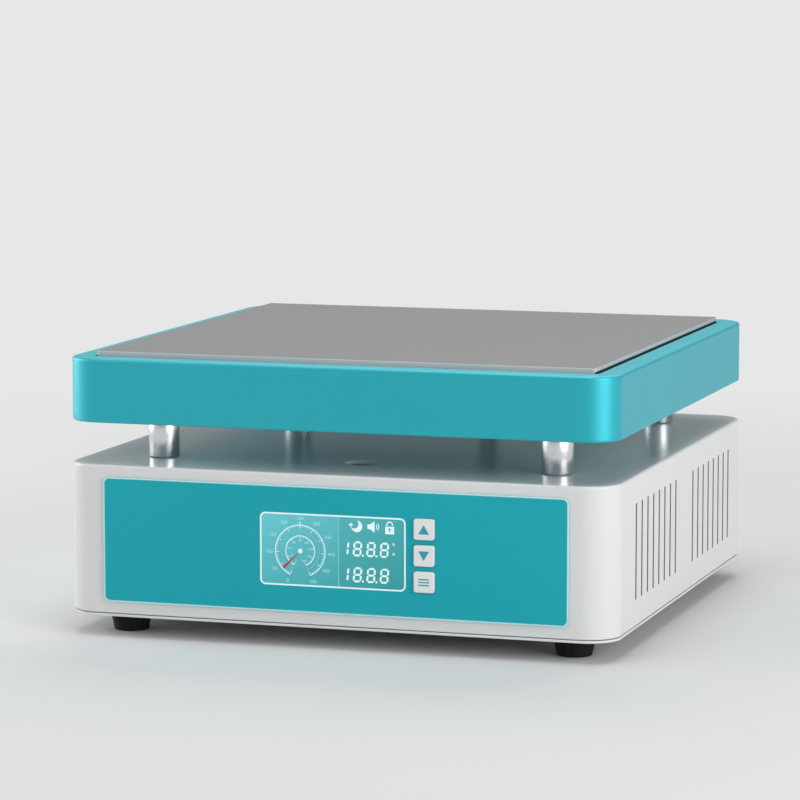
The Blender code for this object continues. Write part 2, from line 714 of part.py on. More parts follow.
def shroud_screw_places():
    """Centres of the four corner bosses, on the diagonal through each corner's arc centre."""
    from_centre = SHROUD_BOSS_FROM_CORNER_CENTRE - CORNER_RADIUS
    x = HEATER_SIDE + from_centre
    y = HEATER_REAR + from_centre
    return [(side * x, back * y, corner) for side, back, corner in CORNERS]


def shroud():
    """Teal painted frame round the hot plate, with a boss in each corner for a floor screw."""
    size = (2 * HEATER_SIDE, 2 * HEATER_REAR, SHROUD_HEIGHT)
    where = (0, 0, SHROUD_LOW + SHROUD_HEIGHT / 2)
    frame = open_shell("shroud", size, where, SHROUD_WALL, SHROUD_TOP_FILLET, TEAL, SHROUD_LOWER_ROUND)
    boss_low = FLOOR_TOP + FIT
    boss_top = SHROUD_TOP - SHROUD_WALL / 2
    for x, y, _ in shroud_screw_places():
        add_boss(frame, SHROUD_BOSS_RADIUS, boss_low, boss_top, (x, y, 0), sides=10)
        hole_depth = SHROUD_SCREW_LENGTH - SHROUD_FLOOR_THICKNESS + FIT
        drill(frame, SHROUD_SCREW_RADIUS + FIT, 2 * hole_depth, (x, y, boss_low), sides=8)
    opening = PLATE_SIZE + 2 * RIM_GAP
    opening_size = (opening, opening, 4 * SHROUD_WALL)
    opening_at = (0, 0, SHROUD_TOP)
    cut(frame, box("cut_rim", opening_size, opening_at, corner=PLATE_CORNER_RADIUS + RIM_GAP, segments=3))
    return frame


def shroud_floor():
    """Steel floor of the heater, with a collar round each bolt that keeps the clamp plate up."""
    inset = SHROUD_WALL + FIT
    size = (2 * (HEATER_SIDE - inset), 2 * (HEATER_REAR - inset), SHROUD_FLOOR_THICKNESS)
    corner_radius = CORNER_RADIUS - inset
    centre = (0, 0, FLOOR_LOW + SHROUD_FLOOR_THICKNESS / 2)
    floor = box("shroud_floor", size, centre, WHITE, corner=corner_radius)
    collar_top = CLAMP_LOW - FIT
    through = 4 * (collar_top - FLOOR_LOW)
    for side, back, _ in CORNERS:
        collar_at = (side * POST_OUT, back * POST_OUT, centre[2])
        add_boss(floor, COLLAR_RADIUS, centre[2], collar_top, collar_at, sides=12)
        drill(floor, BOLT_HOLE_RADIUS, through, collar_at, sides=12)
    head = SHROUD_SCREW_HEAD_RADIUS + FIT
    neck = SHROUD_SCREW_RADIUS + FIT
    for x, y, _ in shroud_screw_places():
        sink_at = (x, y, FLOOR_LOW + SHROUD_SCREW_HEAD_HEIGHT / 2)
        drill(floor, head, SHROUD_SCREW_HEAD_HEIGHT + FIT, sink_at, top_radius=neck, sides=12)
        drill(floor, neck, through, (x, y, centre[2]), sides=8)
    drill(floor, FLOOR_LEAD_HOLE_RADIUS, through, (0, FLOOR_HOLE_Y, centre[2]))
    return floor


def shroud_screws():
    """Countersunk screws, flush with the underside of the floor."""
    low = FLOOR_LOW + FIT
    neck = low + SHROUD_SCREW_HEAD_HEIGHT
    end = low + SHROUD_SCREW_LENGTH - FIT
    profile = [
        (0.0, end),
        (SHROUD_SCREW_RADIUS, end),
        (SHROUD_SCREW_RADIUS, neck),
        (SHROUD_SCREW_HEAD_RADIUS - FIT, low),
        (0.0, low),
    ]
    for x, y, corner in shroud_screw_places():
        screw = turned(f"shroud_screw_{corner}", profile, (x, y, 0), STEEL, sides=SCREW_ROUND, closed=False)
        cross_recess(screw, (x, y, low), SHROUD_SCREW_HEAD_RADIUS, SHROUD_SCREW_HEAD_HEIGHT / 2, "Z")


def element_route():
    """The heating element's path on the plan: out of the back, a bend each side, and across the front."""
    turn = ELEMENT_TURN_RADIUS
    near = ELEMENT_FIRST_RUN
    middle = near + 2 * turn
    far = middle + 2 * turn
    front = -PLATE_SIZE / 2 + ELEMENT_EDGE_DISTANCE
    rear_turn = PLATE_SIZE / 2 - ELEMENT_EDGE_DISTANCE - turn
    inner_turn = front + 2 * turn + turn / 2
    tail = PLATE_SIZE / 2 - ELEMENT_TAIL_FROM_REAR - ELEMENT_TAIL_BEND
    half = [(near, tail)]
    half += arc((near + turn, inner_turn), turn, 180, 360, 6)
    half += arc((middle + turn, rear_turn), turn, 180, 0, 6)
    half += arc((far - turn, front + turn), turn, 0, -90, 3)
    return half[::-1] + [(-x, y) for x, y in half]


def element_points(level):
    """The element's centre line: the plan route, with both tails bent down behind the clamp plate."""
    plan = [(x, y, level) for x, y in element_route()]
    plan = sorted_from_right_tail(plan)
    bend = arc((0.0, 0.0), ELEMENT_TAIL_BEND, 90, 0, 4)
    tail_y = plan[0][1]
    drop = PLATE_LOW - ELEMENT_TAIL_DROP - ELEMENT_RADIUS / 2
    tails = []
    for x in (plan[0][0], plan[-1][0]):
        points = [(x, tail_y + y, level - ELEMENT_TAIL_BEND + z) for y, z in bend[1:]]
        tails.append(points + [(x, points[-1][1], drop)])
    return tails[0][::-1] + plan + tails[1]


def sorted_from_right_tail(plan):
    """The mirrored halves joined across the front, so that the line runs from one tail to the other."""
    half = len(plan) // 2
    return plan[:half][::-1] + [p for p in plan[half:]][::-1]


def heating_plate():
    """Thick aluminium plate, milled underneath for the element and drilled for the bolts and the sensor."""
    size = (PLATE_SIZE, PLATE_SIZE, PLATE_THICKNESS)
    centre = (0, 0, PLATE_LOW + PLATE_THICKNESS / 2)
    plate = box("heating_plate", size, centre, ALUMINIUM, corner=PLATE_CORNER_RADIUS, segments=3)
    soften(plate, PLATE_EDGE_ROUND)
    cut(plate, element_slot())
    for side, back, _ in CORNERS:
        bolt_at = (side * POST_OUT, back * POST_OUT, PLATE_LOW)
        drill(plate, BOLT_HOLE_RADIUS, 2 * (BOLT_IN_PLATE + FIT), bolt_at)
    bore_length = PROBE_LENGTH - PROBE_OUT_OF_PLATE + FIT
    bore_at = (PROBE_X, PLATE_SIZE / 2, element_level())
    drill(plate, PROBE_RADIUS + FIT, 2 * bore_length, bore_at, axis="Y", sides=12)
    return plate


def element_level():
    return PLATE_LOW + ELEMENT_RADIUS


def element_slot():
    """Square cutter swept along the element's plan route, open to the plate's underside and back edge."""
    half = ELEMENT_RADIUS + FIT
    section = [(-half, -half, 0.0), (half, -half, 0.0), (half, half, 0.0), (-half, half, 0.0)]
    profile = curve_of("slot_section", section, (0, 0, 0), None, cyclic=True)
    profile.data.dimensions = "2D"
    profile.data.fill_mode = "NONE"
    plan = sorted_from_right_tail([(x, y, element_level()) for x, y in element_route()])
    beyond = PLATE_SIZE / 2 + ELEMENT_RADIUS
    plan = [(plan[0][0], beyond, plan[0][2])] + plan + [(plan[-1][0], beyond, plan[-1][2])]
    path = curve_of("cut_element_slot", plan, (0, 0, 0), None)
    path.data.twist_mode = "Z_UP"
    path.data.bevel_mode = "OBJECT"
    path.data.bevel_object = profile
    path.data.use_fill_caps = True
    solid = as_mesh(path)
    bpy.data.objects.remove(profile)
    return solid


def heater_layers():
    """Element, clamp plate, insulation and sensor under the hot plate."""
    tube("heater_element", element_points(element_level()), ELEMENT_RADIUS, STEEL)
    clamp_size = PLATE_SIZE - 2 * CLAMP_PLATE_INSET
    clamp_at = (0, 0, (CLAMP_TOP + CLAMP_LOW) / 2)
    clamp = box("clamp_plate", (clamp_size, clamp_size, CLAMP_PLATE_THICKNESS), clamp_at, STEEL)
    pad_low = FLOOR_TOP + FIT
    pad_top = CLAMP_LOW - FIT
    pad_at = (0, 0, (pad_low + pad_top) / 2)
    pad = box("insulation_pad", (clamp_size, clamp_size, pad_top - pad_low), pad_at, CERAMIC_FIBRE)
    for side, back, _ in CORNERS:
        bolt_at = (side * POST_OUT, back * POST_OUT, CLAMP_LOW)
        drill(clamp, BOLT_HOLE_RADIUS, 4 * CLAMP_PLATE_THICKNESS, bolt_at)
        drill(pad, COLLAR_RADIUS + FIT, 4 * (pad_top - pad_low), bolt_at)
    probe_at = (PROBE_X, PLATE_SIZE / 2 + PROBE_OUT_OF_PLATE - PROBE_LENGTH / 2, element_level())
    cylinder("sensor_probe", PROBE_RADIUS, PROBE_LENGTH, probe_at, STEEL, axis="Y", sides=12)


def lead_bush():
    """Snap bush in the top of the box, where the heater and sensor leads go up."""
    top = BASE_TOP + FIT + BUSH_FLANGE_THICKNESS
    low = SHELL_CEILING - FIT - BUSH_FLANGE_THICKNESS
    neck = BUSH_HOLE_RADIUS - FIT
    profile = [
        (BUSH_BORE_RADIUS, top),
        (BUSH_FLANGE_RADIUS, top),
        (BUSH_FLANGE_RADIUS, top - BUSH_FLANGE_THICKNESS),
        (neck, top - BUSH_FLANGE_THICKNESS),
        (neck, low + BUSH_FLANGE_THICKNESS),
        (BUSH_FLANGE_RADIUS, low + BUSH_FLANGE_THICKNESS),
        (BUSH_FLANGE_RADIUS, low),
        (BUSH_BORE_RADIUS, low),
    ]
    turned("lead_bush", profile, (0, BUSH_Y, 0), BLACK, sides=SMALL_ROUND)


def front_window(name, depth, clearance=FIT):
    """Cutter for the display window."""
    size = (DISPLAY_WIDTH + 2 * clearance, depth, DISPLAY_HEIGHT + 2 * clearance)
    where = (0, FRONT, BASE_LOW + DISPLAY_CENTRE_HEIGHT)
    return box(name, size, where, corner=DISPLAY_CORNER_RADIUS + clearance, axis="Y", segments=3)


def button_height(key):
    """Height of a button's middle above the bench."""
    return BASE_LOW + BUTTON_MIDDLE_HEIGHT + BUTTONS[key] * BUTTON_PITCH


def button_window(name, key, depth):
    """Cutter for one button's hole."""
    side = BUTTON_SIZE + 2 * FIT
    where = (BUTTON_X, FRONT, button_height(key))
    return box(name, (side, depth, side), where, corner=BUTTON_EDGE_ROUND + FIT, axis="Y", segments=2)


def control_panel():
    """Teal overlay on the front, the clear window, and behind it the display, its board and the keys."""
    overlay_size = (OVERLAY_WIDTH, OVERLAY_THICKNESS, OVERLAY_HEIGHT)
    overlay_at = (0, FRONT - FIT - OVERLAY_THICKNESS / 2, BASE_LOW + OVERLAY_CENTRE_HEIGHT)
    overlay = box("control_overlay", overlay_size, overlay_at, TEAL, corner=OVERLAY_CORNER_RADIUS, axis="Y")
    cut(overlay, front_window("cut_overlay_window", 6 * SHELL_WALL))
    for key in BUTTONS:
        cut(overlay, button_window(f"cut_overlay_{key}", key, 6 * SHELL_WALL))
    lens_depth = FRONT_INNER - OVERLAY_FACE
    lens_at = (0, (FRONT_INNER + OVERLAY_FACE) / 2, BASE_LOW + DISPLAY_CENTRE_HEIGHT)
    lens_size = (DISPLAY_WIDTH, lens_depth, DISPLAY_HEIGHT)
    box("display_lens", lens_size, lens_at, CLEAR, corner=DISPLAY_CORNER_RADIUS, axis="Y", segments=3)
    lcd_at = (0, (LCD_FRONT + LCD_REAR) / 2, BASE_LOW + DISPLAY_CENTRE_HEIGHT)
    box("lcd_module", (LCD_WIDTH, LCD_THICKNESS, LCD_HEIGHT), lcd_at, LCD_BLUE)
    display_board()
    for key in BUTTONS:
        button(key)


def display_board():
    """Circuit board on the studs, with one key switch soldered behind each button."""
    size = (DISPLAY_BOARD_WIDTH, BOARD_THICKNESS, DISPLAY_BOARD_HEIGHT)
    where = (DISPLAY_BOARD_X, DISPLAY_BOARD_FRONT + BOARD_THICKNESS / 2, BASE_LOW + DISPLAY_CENTRE_HEIGHT)
    board = box("display_board", size, where, BOARD_GREEN)
    for x, z in stud_places():
        drill(board, STUD_PIN_RADIUS + FIT, 4 * BOARD_THICKNESS, (x, where[1], z), axis="Y", sides=8)
    switch_rear = DISPLAY_BOARD_FRONT + BOARD_THICKNESS / 2
    switch_front = key_switch_front()
    for key in BUTTONS:
        z = button_height(key)
        body_size = (KEY_SWITCH_SIZE, switch_rear - switch_front, KEY_SWITCH_SIZE)
        join(board, box(f"key_switch_{key}", body_size, (BUTTON_X, (switch_front + switch_rear) / 2, z)))
        bore_at = (BUTTON_X, switch_front, z)
        drill(board, STEM_RADIUS + FIT, 2 * KEY_SWITCH_BORE_DEPTH, bore_at, axis="Y", sides=12)
    return board


def key_switch_front():
    """Front face of the key switches, clear of the button's lip when it is pressed."""
    return FRONT_INNER + FIT + BUTTON_LIP_THICKNESS + BUTTON_TRAVEL + FIT


def button(key):
    """A push button: cap through the panel, lip behind the wall, stem in the key switch."""
    z = button_height(key)
    anchor = bpy.data.objects.new(f"{key}_travel", None)
    PARTS.objects.link(anchor)
    anchor.location = (BUTTON_X, OVERLAY_FACE, z)
    lip_front = FRONT_INNER + FIT - OVERLAY_FACE
    lip_rear = lip_front + BUTTON_LIP_THICKNESS
    cap_rear = lip_front + BUTTON_LIP_THICKNESS / 2
    cap_size = (BUTTON_SIZE, cap_rear + BUTTON_PROUD, BUTTON_SIZE)
    cap_at = (0, (cap_rear - BUTTON_PROUD) / 2, 0)
    cap = box(key, cap_size, cap_at, KEY_WHITE, corner=BUTTON_EDGE_ROUND, axis="Y", segments=2)
    soften(cap, BUTTON_EDGE_ROUND / 2)
    lip_size = (BUTTON_LIP_WIDTH, BUTTON_LIP_THICKNESS, BUTTON_SIZE)
    lip = box(f"lip_{key}", lip_size, (0, (lip_front + lip_rear) / 2, 0))
    stem_front = lip_rear - BUTTON_LIP_THICKNESS / 2
    stem_rear = key_switch_front() + KEY_SWITCH_BORE_DEPTH - BUTTON_TRAVEL - FIT - OVERLAY_FACE
    stem_at = (0, (stem_front + stem_rear) / 2, 0)
    stem = cylinder(f"stem_{key}", STEM_RADIUS, stem_rear - stem_front, stem_at, axis="Y", sides=12)
    join(cap, lip, stem)
    for piece in (cap, lip, stem):
        piece.parent = anchor


def inlet():
    """Three-pin mains inlet with a fuse drawer under the socket, held by two screws."""
    centre_z = INLET_Z
    flange_size = (INLET_FLANGE_WIDTH, INLET_FLANGE_THICKNESS, INLET_FLANGE_HEIGHT)
    flange_at = (INLET_X, REAR + FIT + INLET_FLANGE_THICKNESS / 2, centre_z)
    corner = INLET_FLANGE_CORNER
    housing = box("inlet_housing", flange_size, flange_at, BLACK, corner=corner, axis="Y", segments=4)
    body_rear = FLANGE_REAR - INLET_FLANGE_THICKNESS / 2
    body_front = REAR - INLET_BODY_DEPTH
    body_size = (INLET_BODY_WIDTH, body_rear - body_front, INLET_BODY_HEIGHT)
    join(housing, box("inlet_body", body_size, (INLET_X, (body_rear + body_front) / 2, centre_z)))
    cut(housing, socket_cutter(centre_z + SOCKET_ABOVE_CENTRE))
    socket_z = centre_z + SOCKET_ABOVE_CENTRE
    pins = [
        ("live", -PIN_SPACING, -PIN_OFFSET),
        ("neutral", PIN_SPACING, -PIN_OFFSET),
        ("earth", 0.0, PIN_OFFSET),
    ]
    tip = FLANGE_REAR - PIN_RECESS
    tail = body_front - PIN_TAIL
    for name, across, up in pins:
        middle = (INLET_X + across, (tip + tail) / 2, socket_z + up)
        slot = box(f"cut_pin_{name}", (PIN_THICKNESS + 2 * FIT, tip - tail, PIN_HEIGHT + 2 * FIT), middle)
        cut(housing, slot)
        pin = box(f"inlet_pin_{name}", (PIN_THICKNESS, tip - tail, PIN_HEIGHT), middle, BRASS)
        soften(pin, PIN_THICKNESS / 5, segments=1)
    fuse_drawer(housing)
    for side, name in ((-1, "left"), (1, "right")):
        inlet_screw(housing, f"inlet_screw_{name}", inlet_screw_x(side), centre_z)


def socket_cutter(z):
    """The socket's cavity: a rectangle with its two upper corners cut off."""
    half = SOCKET_WIDTH / 2
    up = SOCKET_HEIGHT / 2
    edge = SOCKET_CHAMFER
    right = [(half, -up), (half, up - edge), (half - edge, up)]
    points = right + [(-x, y) for x, y in right[::-1]]
    depth = 2 * SOCKET_DEPTH
    cutter = outline("cut_socket_cavity", points, depth, (INLET_X, FLANGE_REAR, z))
    cutter.rotation_euler = (math.pi / 2, 0, 0)
    return as_mesh(cutter)


def fuse_drawer(housing):
    """Drawer that slides out backwards with the fuse lying in it."""
    z = INLET_Z - DRAWER_BELOW_CENTRE
    hole = (DRAWER_WIDTH + 2 * FIT, 4 * INLET_BODY_DEPTH, DRAWER_HEIGHT + 2 * FIT)
    cut(housing, box("cut_drawer", hole, (INLET_X, REAR, z)))
    anchor = bpy.data.objects.new("fuse_drawer_travel", None)
    PARTS.objects.link(anchor)
    anchor.location = (INLET_X, FLANGE_REAR, z)
    inner_end = -DRAWER_DEPTH
    overhang = 2 * DRAWER_FACE_OVERHANG
    face_size = (DRAWER_WIDTH + overhang, DRAWER_FACE_THICKNESS, DRAWER_HEIGHT + overhang)
    face = box("drawer_face", face_size, (0, FIT + DRAWER_FACE_THICKNESS / 2, 0))
    body_size = (DRAWER_WIDTH, FIT + DRAWER_FACE_THICKNESS / 2 - inner_end, DRAWER_HEIGHT)
    body_at = (0, (FIT + DRAWER_FACE_THICKNESS / 2 + inner_end) / 2, 0)
    drawer = box("fuse_drawer", body_size, body_at, BLACK)
    well_length = DRAWER_DEPTH - 2 * DRAWER_WALL
    well_size = (2 * (FUSE_CAP_RADIUS + FIT), well_length, DRAWER_HEIGHT)
    well = box("cut_drawer_well", well_size, (0, -DRAWER_DEPTH / 2, DRAWER_WALL))
    join(drawer, face)
    cut(drawer, well)
    fuse_low = -DRAWER_HEIGHT / 2 + DRAWER_WALL + FIT + FUSE_CAP_RADIUS
    half = FUSE_LENGTH / 2
    profile = [
        (0.0, half),
        (FUSE_CAP_RADIUS, half),
        (FUSE_CAP_RADIUS, half - FUSE_CAP_LENGTH),
        (FUSE_RADIUS, half - FUSE_CAP_LENGTH),
        (FUSE_RADIUS, FUSE_CAP_LENGTH - half),
        (FUSE_CAP_RADIUS, FUSE_CAP_LENGTH - half),
        (FUSE_CAP_RADIUS, -half),
        (0.0, -half),
    ]
    fuse = turned("fuse", profile, (0, -DRAWER_DEPTH / 2, fuse_low), GLASS, sides=SMALL_ROUND, closed=False)
    fuse.rotation_euler = (math.pi / 2, 0, 0)
    for piece in (face, drawer, well, fuse):
        piece.parent = anchor


def inlet_screw(housing, name, x, z):
    """Countersunk screw through the flange and the shell."""
    face = FLANGE_REAR
    sink_at = (x, face - INLET_SCREW_HEAD_HEIGHT / 2, z)
    head = INLET_SCREW_HEAD_RADIUS + FIT
    neck = INLET_SCREW_RADIUS + FIT
    drill(housing, neck, INLET_SCREW_HEAD_HEIGHT + FIT, sink_at, axis="Y", top_radius=head, sides=12)
    drill(housing, neck, 4 * INLET_FLANGE_THICKNESS, (x, face, z), axis="Y", sides=8)
    profile = [
        (0.0, 0.0),
        (INLET_SCREW_HEAD_RADIUS - FIT, 0.0),
        (INLET_SCREW_RADIUS, -INLET_SCREW_HEAD_HEIGHT),
        (INLET_SCREW_RADIUS, -INLET_SCREW_LENGTH),
        (0.0, -INLET_SCREW_LENGTH),
    ]
    screw = turned(name, profile, (x, face - FIT, z), STEEL, sides=SCREW_ROUND, closed=False)
    screw.rotation_euler = (-math.pi / 2, 0, 0)
    cross_recess(screw, (x, face - FIT, z), INLET_SCREW_HEAD_RADIUS, INLET_SCREW_HEAD_HEIGHT / 2, "Y")


def rocker_switch():
    """Snap-in power switch: a body with a bezel, and the rocker that tips in it. It rests switched off."""
    bezel_rear = REAR + FIT + SWITCH_BEZEL_THICKNESS
    bezel_size = (SWITCH_BEZEL_WIDTH, SWITCH_BEZEL_THICKNESS, SWITCH_BEZEL_HEIGHT)
    bezel_at = (SWITCH_X, REAR + FIT + SWITCH_BEZEL_THICKNESS / 2, SWITCH_Z)
    corner = SWITCH_BEZEL_THICKNESS / 2
    body = box("switch_body", bezel_size, bezel_at, BLACK, corner=corner, axis="Y", segments=3)
    inner = REAR - SWITCH_BODY_DEPTH
    body_rear = bezel_at[1]
    body_size = (SWITCH_BODY_WIDTH, body_rear - inner, SWITCH_BODY_HEIGHT)
    join(body, box("switch_barrel", body_size, (SWITCH_X, (body_rear + inner) / 2, SWITCH_Z)))
    well_size = (SWITCH_WELL_WIDTH + 2 * FIT, 2 * SWITCH_WELL_DEPTH, SWITCH_WELL_HEIGHT)
    cut(body, box("cut_switch_well", well_size, (SWITCH_X, bezel_rear, SWITCH_Z)))
    pivot = bpy.data.objects.new("rocker_pivot", None)
    PARTS.objects.link(pivot)
    pivot.location = (SWITCH_X, bezel_rear - ROCKER_PIVOT_DEPTH, SWITCH_Z)
    rocker = outline("rocker", rocker_outline(), SWITCH_WELL_WIDTH, (0, 0, 0), ROCKER_BLACK)
    rocker.rotation_euler = (math.pi / 2, 0, math.pi / 2)
    solid = as_mesh(rocker)
    solid.data.materials.clear()
    solid.data.materials.append(ROCKER_BLACK)
    smooth(solid.data)
    solid.parent = pivot


def rocker_outline():
    """Side view of the rocker, outwards along +x: a dished face and a round heel, tipped low end in."""
    half = ROCKER_HALF_HEIGHT
    face = ROCKER_TOP_ABOVE_PIVOT
    steps = 8
    dish = []
    for i in range(steps + 1):
        share = 2 * i / steps - 1
        dish.append((face - ROCKER_ARC_SAG * (1 - share * share), share * half))
    heel = arc((0.0, 0.0), ROCKER_TOP_ABOVE_PIVOT * 0.75, 110, 250, 6)
    points = dish + heel
    tilt = -math.radians(ROCKER_TILT)
    across, along = math.cos(tilt), math.sin(tilt)
    return [(x * across - y * along, x * along + y * across) for x, y in points]


def power_board():
    """Power board on its pillars, with transformer, triac on a heat sink and terminal block."""
    size = (POWER_BOARD_WIDTH, POWER_BOARD_DEPTH, BOARD_THICKNESS)
    middle = (POWER_BOARD_LOW + POWER_BOARD_TOP) / 2
    board = box("power_board", size, (POWER_BOARD_X, POWER_BOARD_Y, middle), BOARD_GREEN)
    for x, y in pillar_places():
        drill(board, STUD_PIN_RADIUS + FIT, 4 * BOARD_THICKNESS, (x, y, middle), sides=8)
    seat = POWER_BOARD_TOP + FIT
    core_at = (TRANSFORMER_X, TRANSFORMER_Y, seat + TRANSFORMER_CORE[2] / 2)
    transformer = box("transformer", TRANSFORMER_CORE, core_at, STEEL)
    join(transformer, box("coil", TRANSFORMER_COIL, core_at, corner=TRANSFORMER_COIL_CORNER, segments=3))
    heat_sink(seat)
    terminal_block(seat)


def heat_sink(seat):
    """Extruded comb of fins on a back wall, standing on the board, with the triac on its flat side."""
    pitch = (HEAT_SINK_LENGTH - FIN_THICKNESS) / (FIN_COUNT - 1)
    back = HEAT_SINK_BACK
    tips = back + FIN_LENGTH
    points = [(0.0, 0.0), (0.0, tips)]
    for fin in range(FIN_COUNT):
        left = fin * pitch
        right = left + FIN_THICKNESS
        if fin:
            points += [(left, back), (left, tips)]
        points.append((right, tips))
        if fin < FIN_COUNT - 1:
            points.append((right, back))
    points.append((HEAT_SINK_LENGTH, 0.0))
    points = points[::-1]
    sink_at = (HEAT_SINK_X - HEAT_SINK_LENGTH / 2, HEAT_SINK_Y, seat + HEAT_SINK_HEIGHT / 2)
    outline("heat_sink", points, HEAT_SINK_HEIGHT, sink_at, ALUMINIUM)
    triac_y = HEAT_SINK_Y - FIT - TRIAC_THICKNESS / 2
    triac_at = (HEAT_SINK_X, triac_y, seat + HEAT_SINK_HEIGHT / 2)
    triac = box("triac", (TRIAC_WIDTH, TRIAC_THICKNESS, TRIAC_HEIGHT), triac_at, BLACK)
    leg_length = HEAT_SINK_HEIGHT / 2 + FIT
    for number in (-1, 0, 1):
        leg_at = (HEAT_SINK_X + number * TRIAC_WIDTH / 4, triac_y, seat + leg_length / 2)
        leg_size = (TRIAC_LEG_WIDTH, TRIAC_LEG_THICKNESS, leg_length)
        join(triac, box(f"triac_leg_{number + 1}", leg_size, leg_at))


def terminal_block(seat):
    """Screw terminals along the back edge of the board, wire entries to the back."""
    y = terminal_rear() - TERMINAL_DEPTH / 2
    at = (TERMINAL_X, y, seat + TERMINAL_HEIGHT / 2)
    block = box("terminal_block", (TERMINAL_WIDTH, TERMINAL_DEPTH, TERMINAL_HEIGHT), at, BOARD_GREEN)
    for way in range(TERMINAL_WAYS):
        entry = (terminal_x(way), terminal_rear(), seat + TERMINAL_HEIGHT / 3)
        drill(block, TERMINAL_HOLE_RADIUS, 2 * TERMINAL_HOLE_DEPTH, entry, axis="Y", sides=8)


def terminal_rear():
    return POWER_BOARD_Y + POWER_BOARD_DEPTH / 2 - TERMINAL_DEPTH / 2


def terminal_x(way):
    pitch = TERMINAL_WIDTH / TERMINAL_WAYS
    return TERMINAL_X - TERMINAL_WIDTH / 2 + pitch * (way + 0.5)


def leads():
    """Wires inside the box and up to the heater. Each end stops a fit short of what it joins."""
    seat = POWER_BOARD_TOP + FIT
    entry_z = seat + TERMINAL_HEIGHT / 3
    entry_y = terminal_rear() - TERMINAL_HOLE_DEPTH + FIT
    out_y = terminal_rear() + LEAD_OUT
    tail_z = PLATE_LOW - ELEMENT_TAIL_DROP - ELEMENT_RADIUS / 2
    tail_y = PLATE_SIZE / 2 - ELEMENT_TAIL_FROM_REAR
    over_bush = BASE_TOP + 2 * BUSH_FLANGE_THICKNESS
    under_floor = FLOOR_LOW - 2 * BUSH_FLANGE_THICKNESS
    lift = FLOOR_TOP + 2 * LEAD_RADIUS
    for side, way, name in ((-1, 2, "heater_lead_left"), (1, 3, "heater_lead_right")):
        through = side * 2 * LEAD_RADIUS
        x = terminal_x(way)
        knots = [
            (x, entry_y, entry_z),
            (x, out_y, entry_z),
            (through * 2, BUSH_Y - LEAD_OUT, SHELL_CEILING - LEAD_SAG),
            (through, BUSH_Y, SHELL_CEILING - LEAD_STRAIGHT),
            (through, BUSH_Y, over_bush),
            (through, FLOOR_HOLE_Y, under_floor),
            (through, FLOOR_HOLE_Y, FLOOR_LOW + SHROUD_FLOOR_THICKNESS / 2),
            (2 * through, FLOOR_HOLE_Y, lift),
            (side * (ELEMENT_FIRST_RUN - 3 * LEAD_RADIUS), tail_y, lift),
            (side * ELEMENT_FIRST_RUN, tail_y, tail_z - LEAD_RADIUS),
            (side * ELEMENT_FIRST_RUN, tail_y, tail_z - FIT),
        ]
        tube(name, smooth_route(knots), LEAD_RADIUS, WIRE_WHITE, resolution=1)
    x = terminal_x(1)
    behind = 2.2 * LEAD_RADIUS
    inner_rear = HEATER_REAR - SHROUD_WALL
    probe_y = PLATE_SIZE / 2 + PROBE_OUT_OF_PLATE + FIT
    knots = [
        (x, entry_y, entry_z),
        (x, out_y, entry_z),
        (-SENSOR_LEAD_ASIDE, BUSH_Y - 2 * LEAD_OUT / 3, SHELL_CEILING - LEAD_SAG - LEAD_STRAIGHT),
        (0.0, BUSH_Y + behind, SHELL_CEILING - 2 * LEAD_STRAIGHT / 3),
        (0.0, BUSH_Y + behind, over_bush),
        (0.0, FLOOR_HOLE_Y + behind, under_floor),
        (0.0, FLOOR_HOLE_Y + behind, FLOOR_TOP),
        (SENSOR_LEAD_ASIDE / 2, inner_rear - 2.5 * LEAD_RADIUS, FLOOR_TOP + 2 * LEAD_STRAIGHT / 3),
        (PROBE_X - LEAD_STRAIGHT, inner_rear - 2 * LEAD_RADIUS, element_level()),
        (PROBE_X - LEAD_STRAIGHT / 6, probe_y + LEAD_RADIUS, element_level()),
    ]
    tube("sensor_lead", smooth_route(knots), LEAD_RADIUS, WIRE_WHITE, resolution=1)
    mains_leads(entry_y, entry_z, out_y)
    front_y = DISPLAY_BOARD_FRONT + BOARD_THICKNESS + FIT
    board_front = POWER_BOARD_Y - POWER_BOARD_DEPTH / 2
    knots = [
        (CABLE_X, front_y, BASE_LOW + CABLE_HEIGHT),
        (CABLE_X, front_y + CABLE_RUN, BASE_LOW + CABLE_HEIGHT),
        (CABLE_BOARD_X + 0.75 * CABLE_RUN, board_front - CABLE_SLACK, BASE_LOW + 1.2 * CABLE_HEIGHT),
        (CABLE_BOARD_X, board_front + CABLE_RUN, seat + CABLE_RISE),
        (CABLE_BOARD_X, board_front + CABLE_RUN, seat),
    ]
    tube("display_cable", smooth_route(knots), 1.5 * LEAD_RADIUS, BLACK, resolution=1)


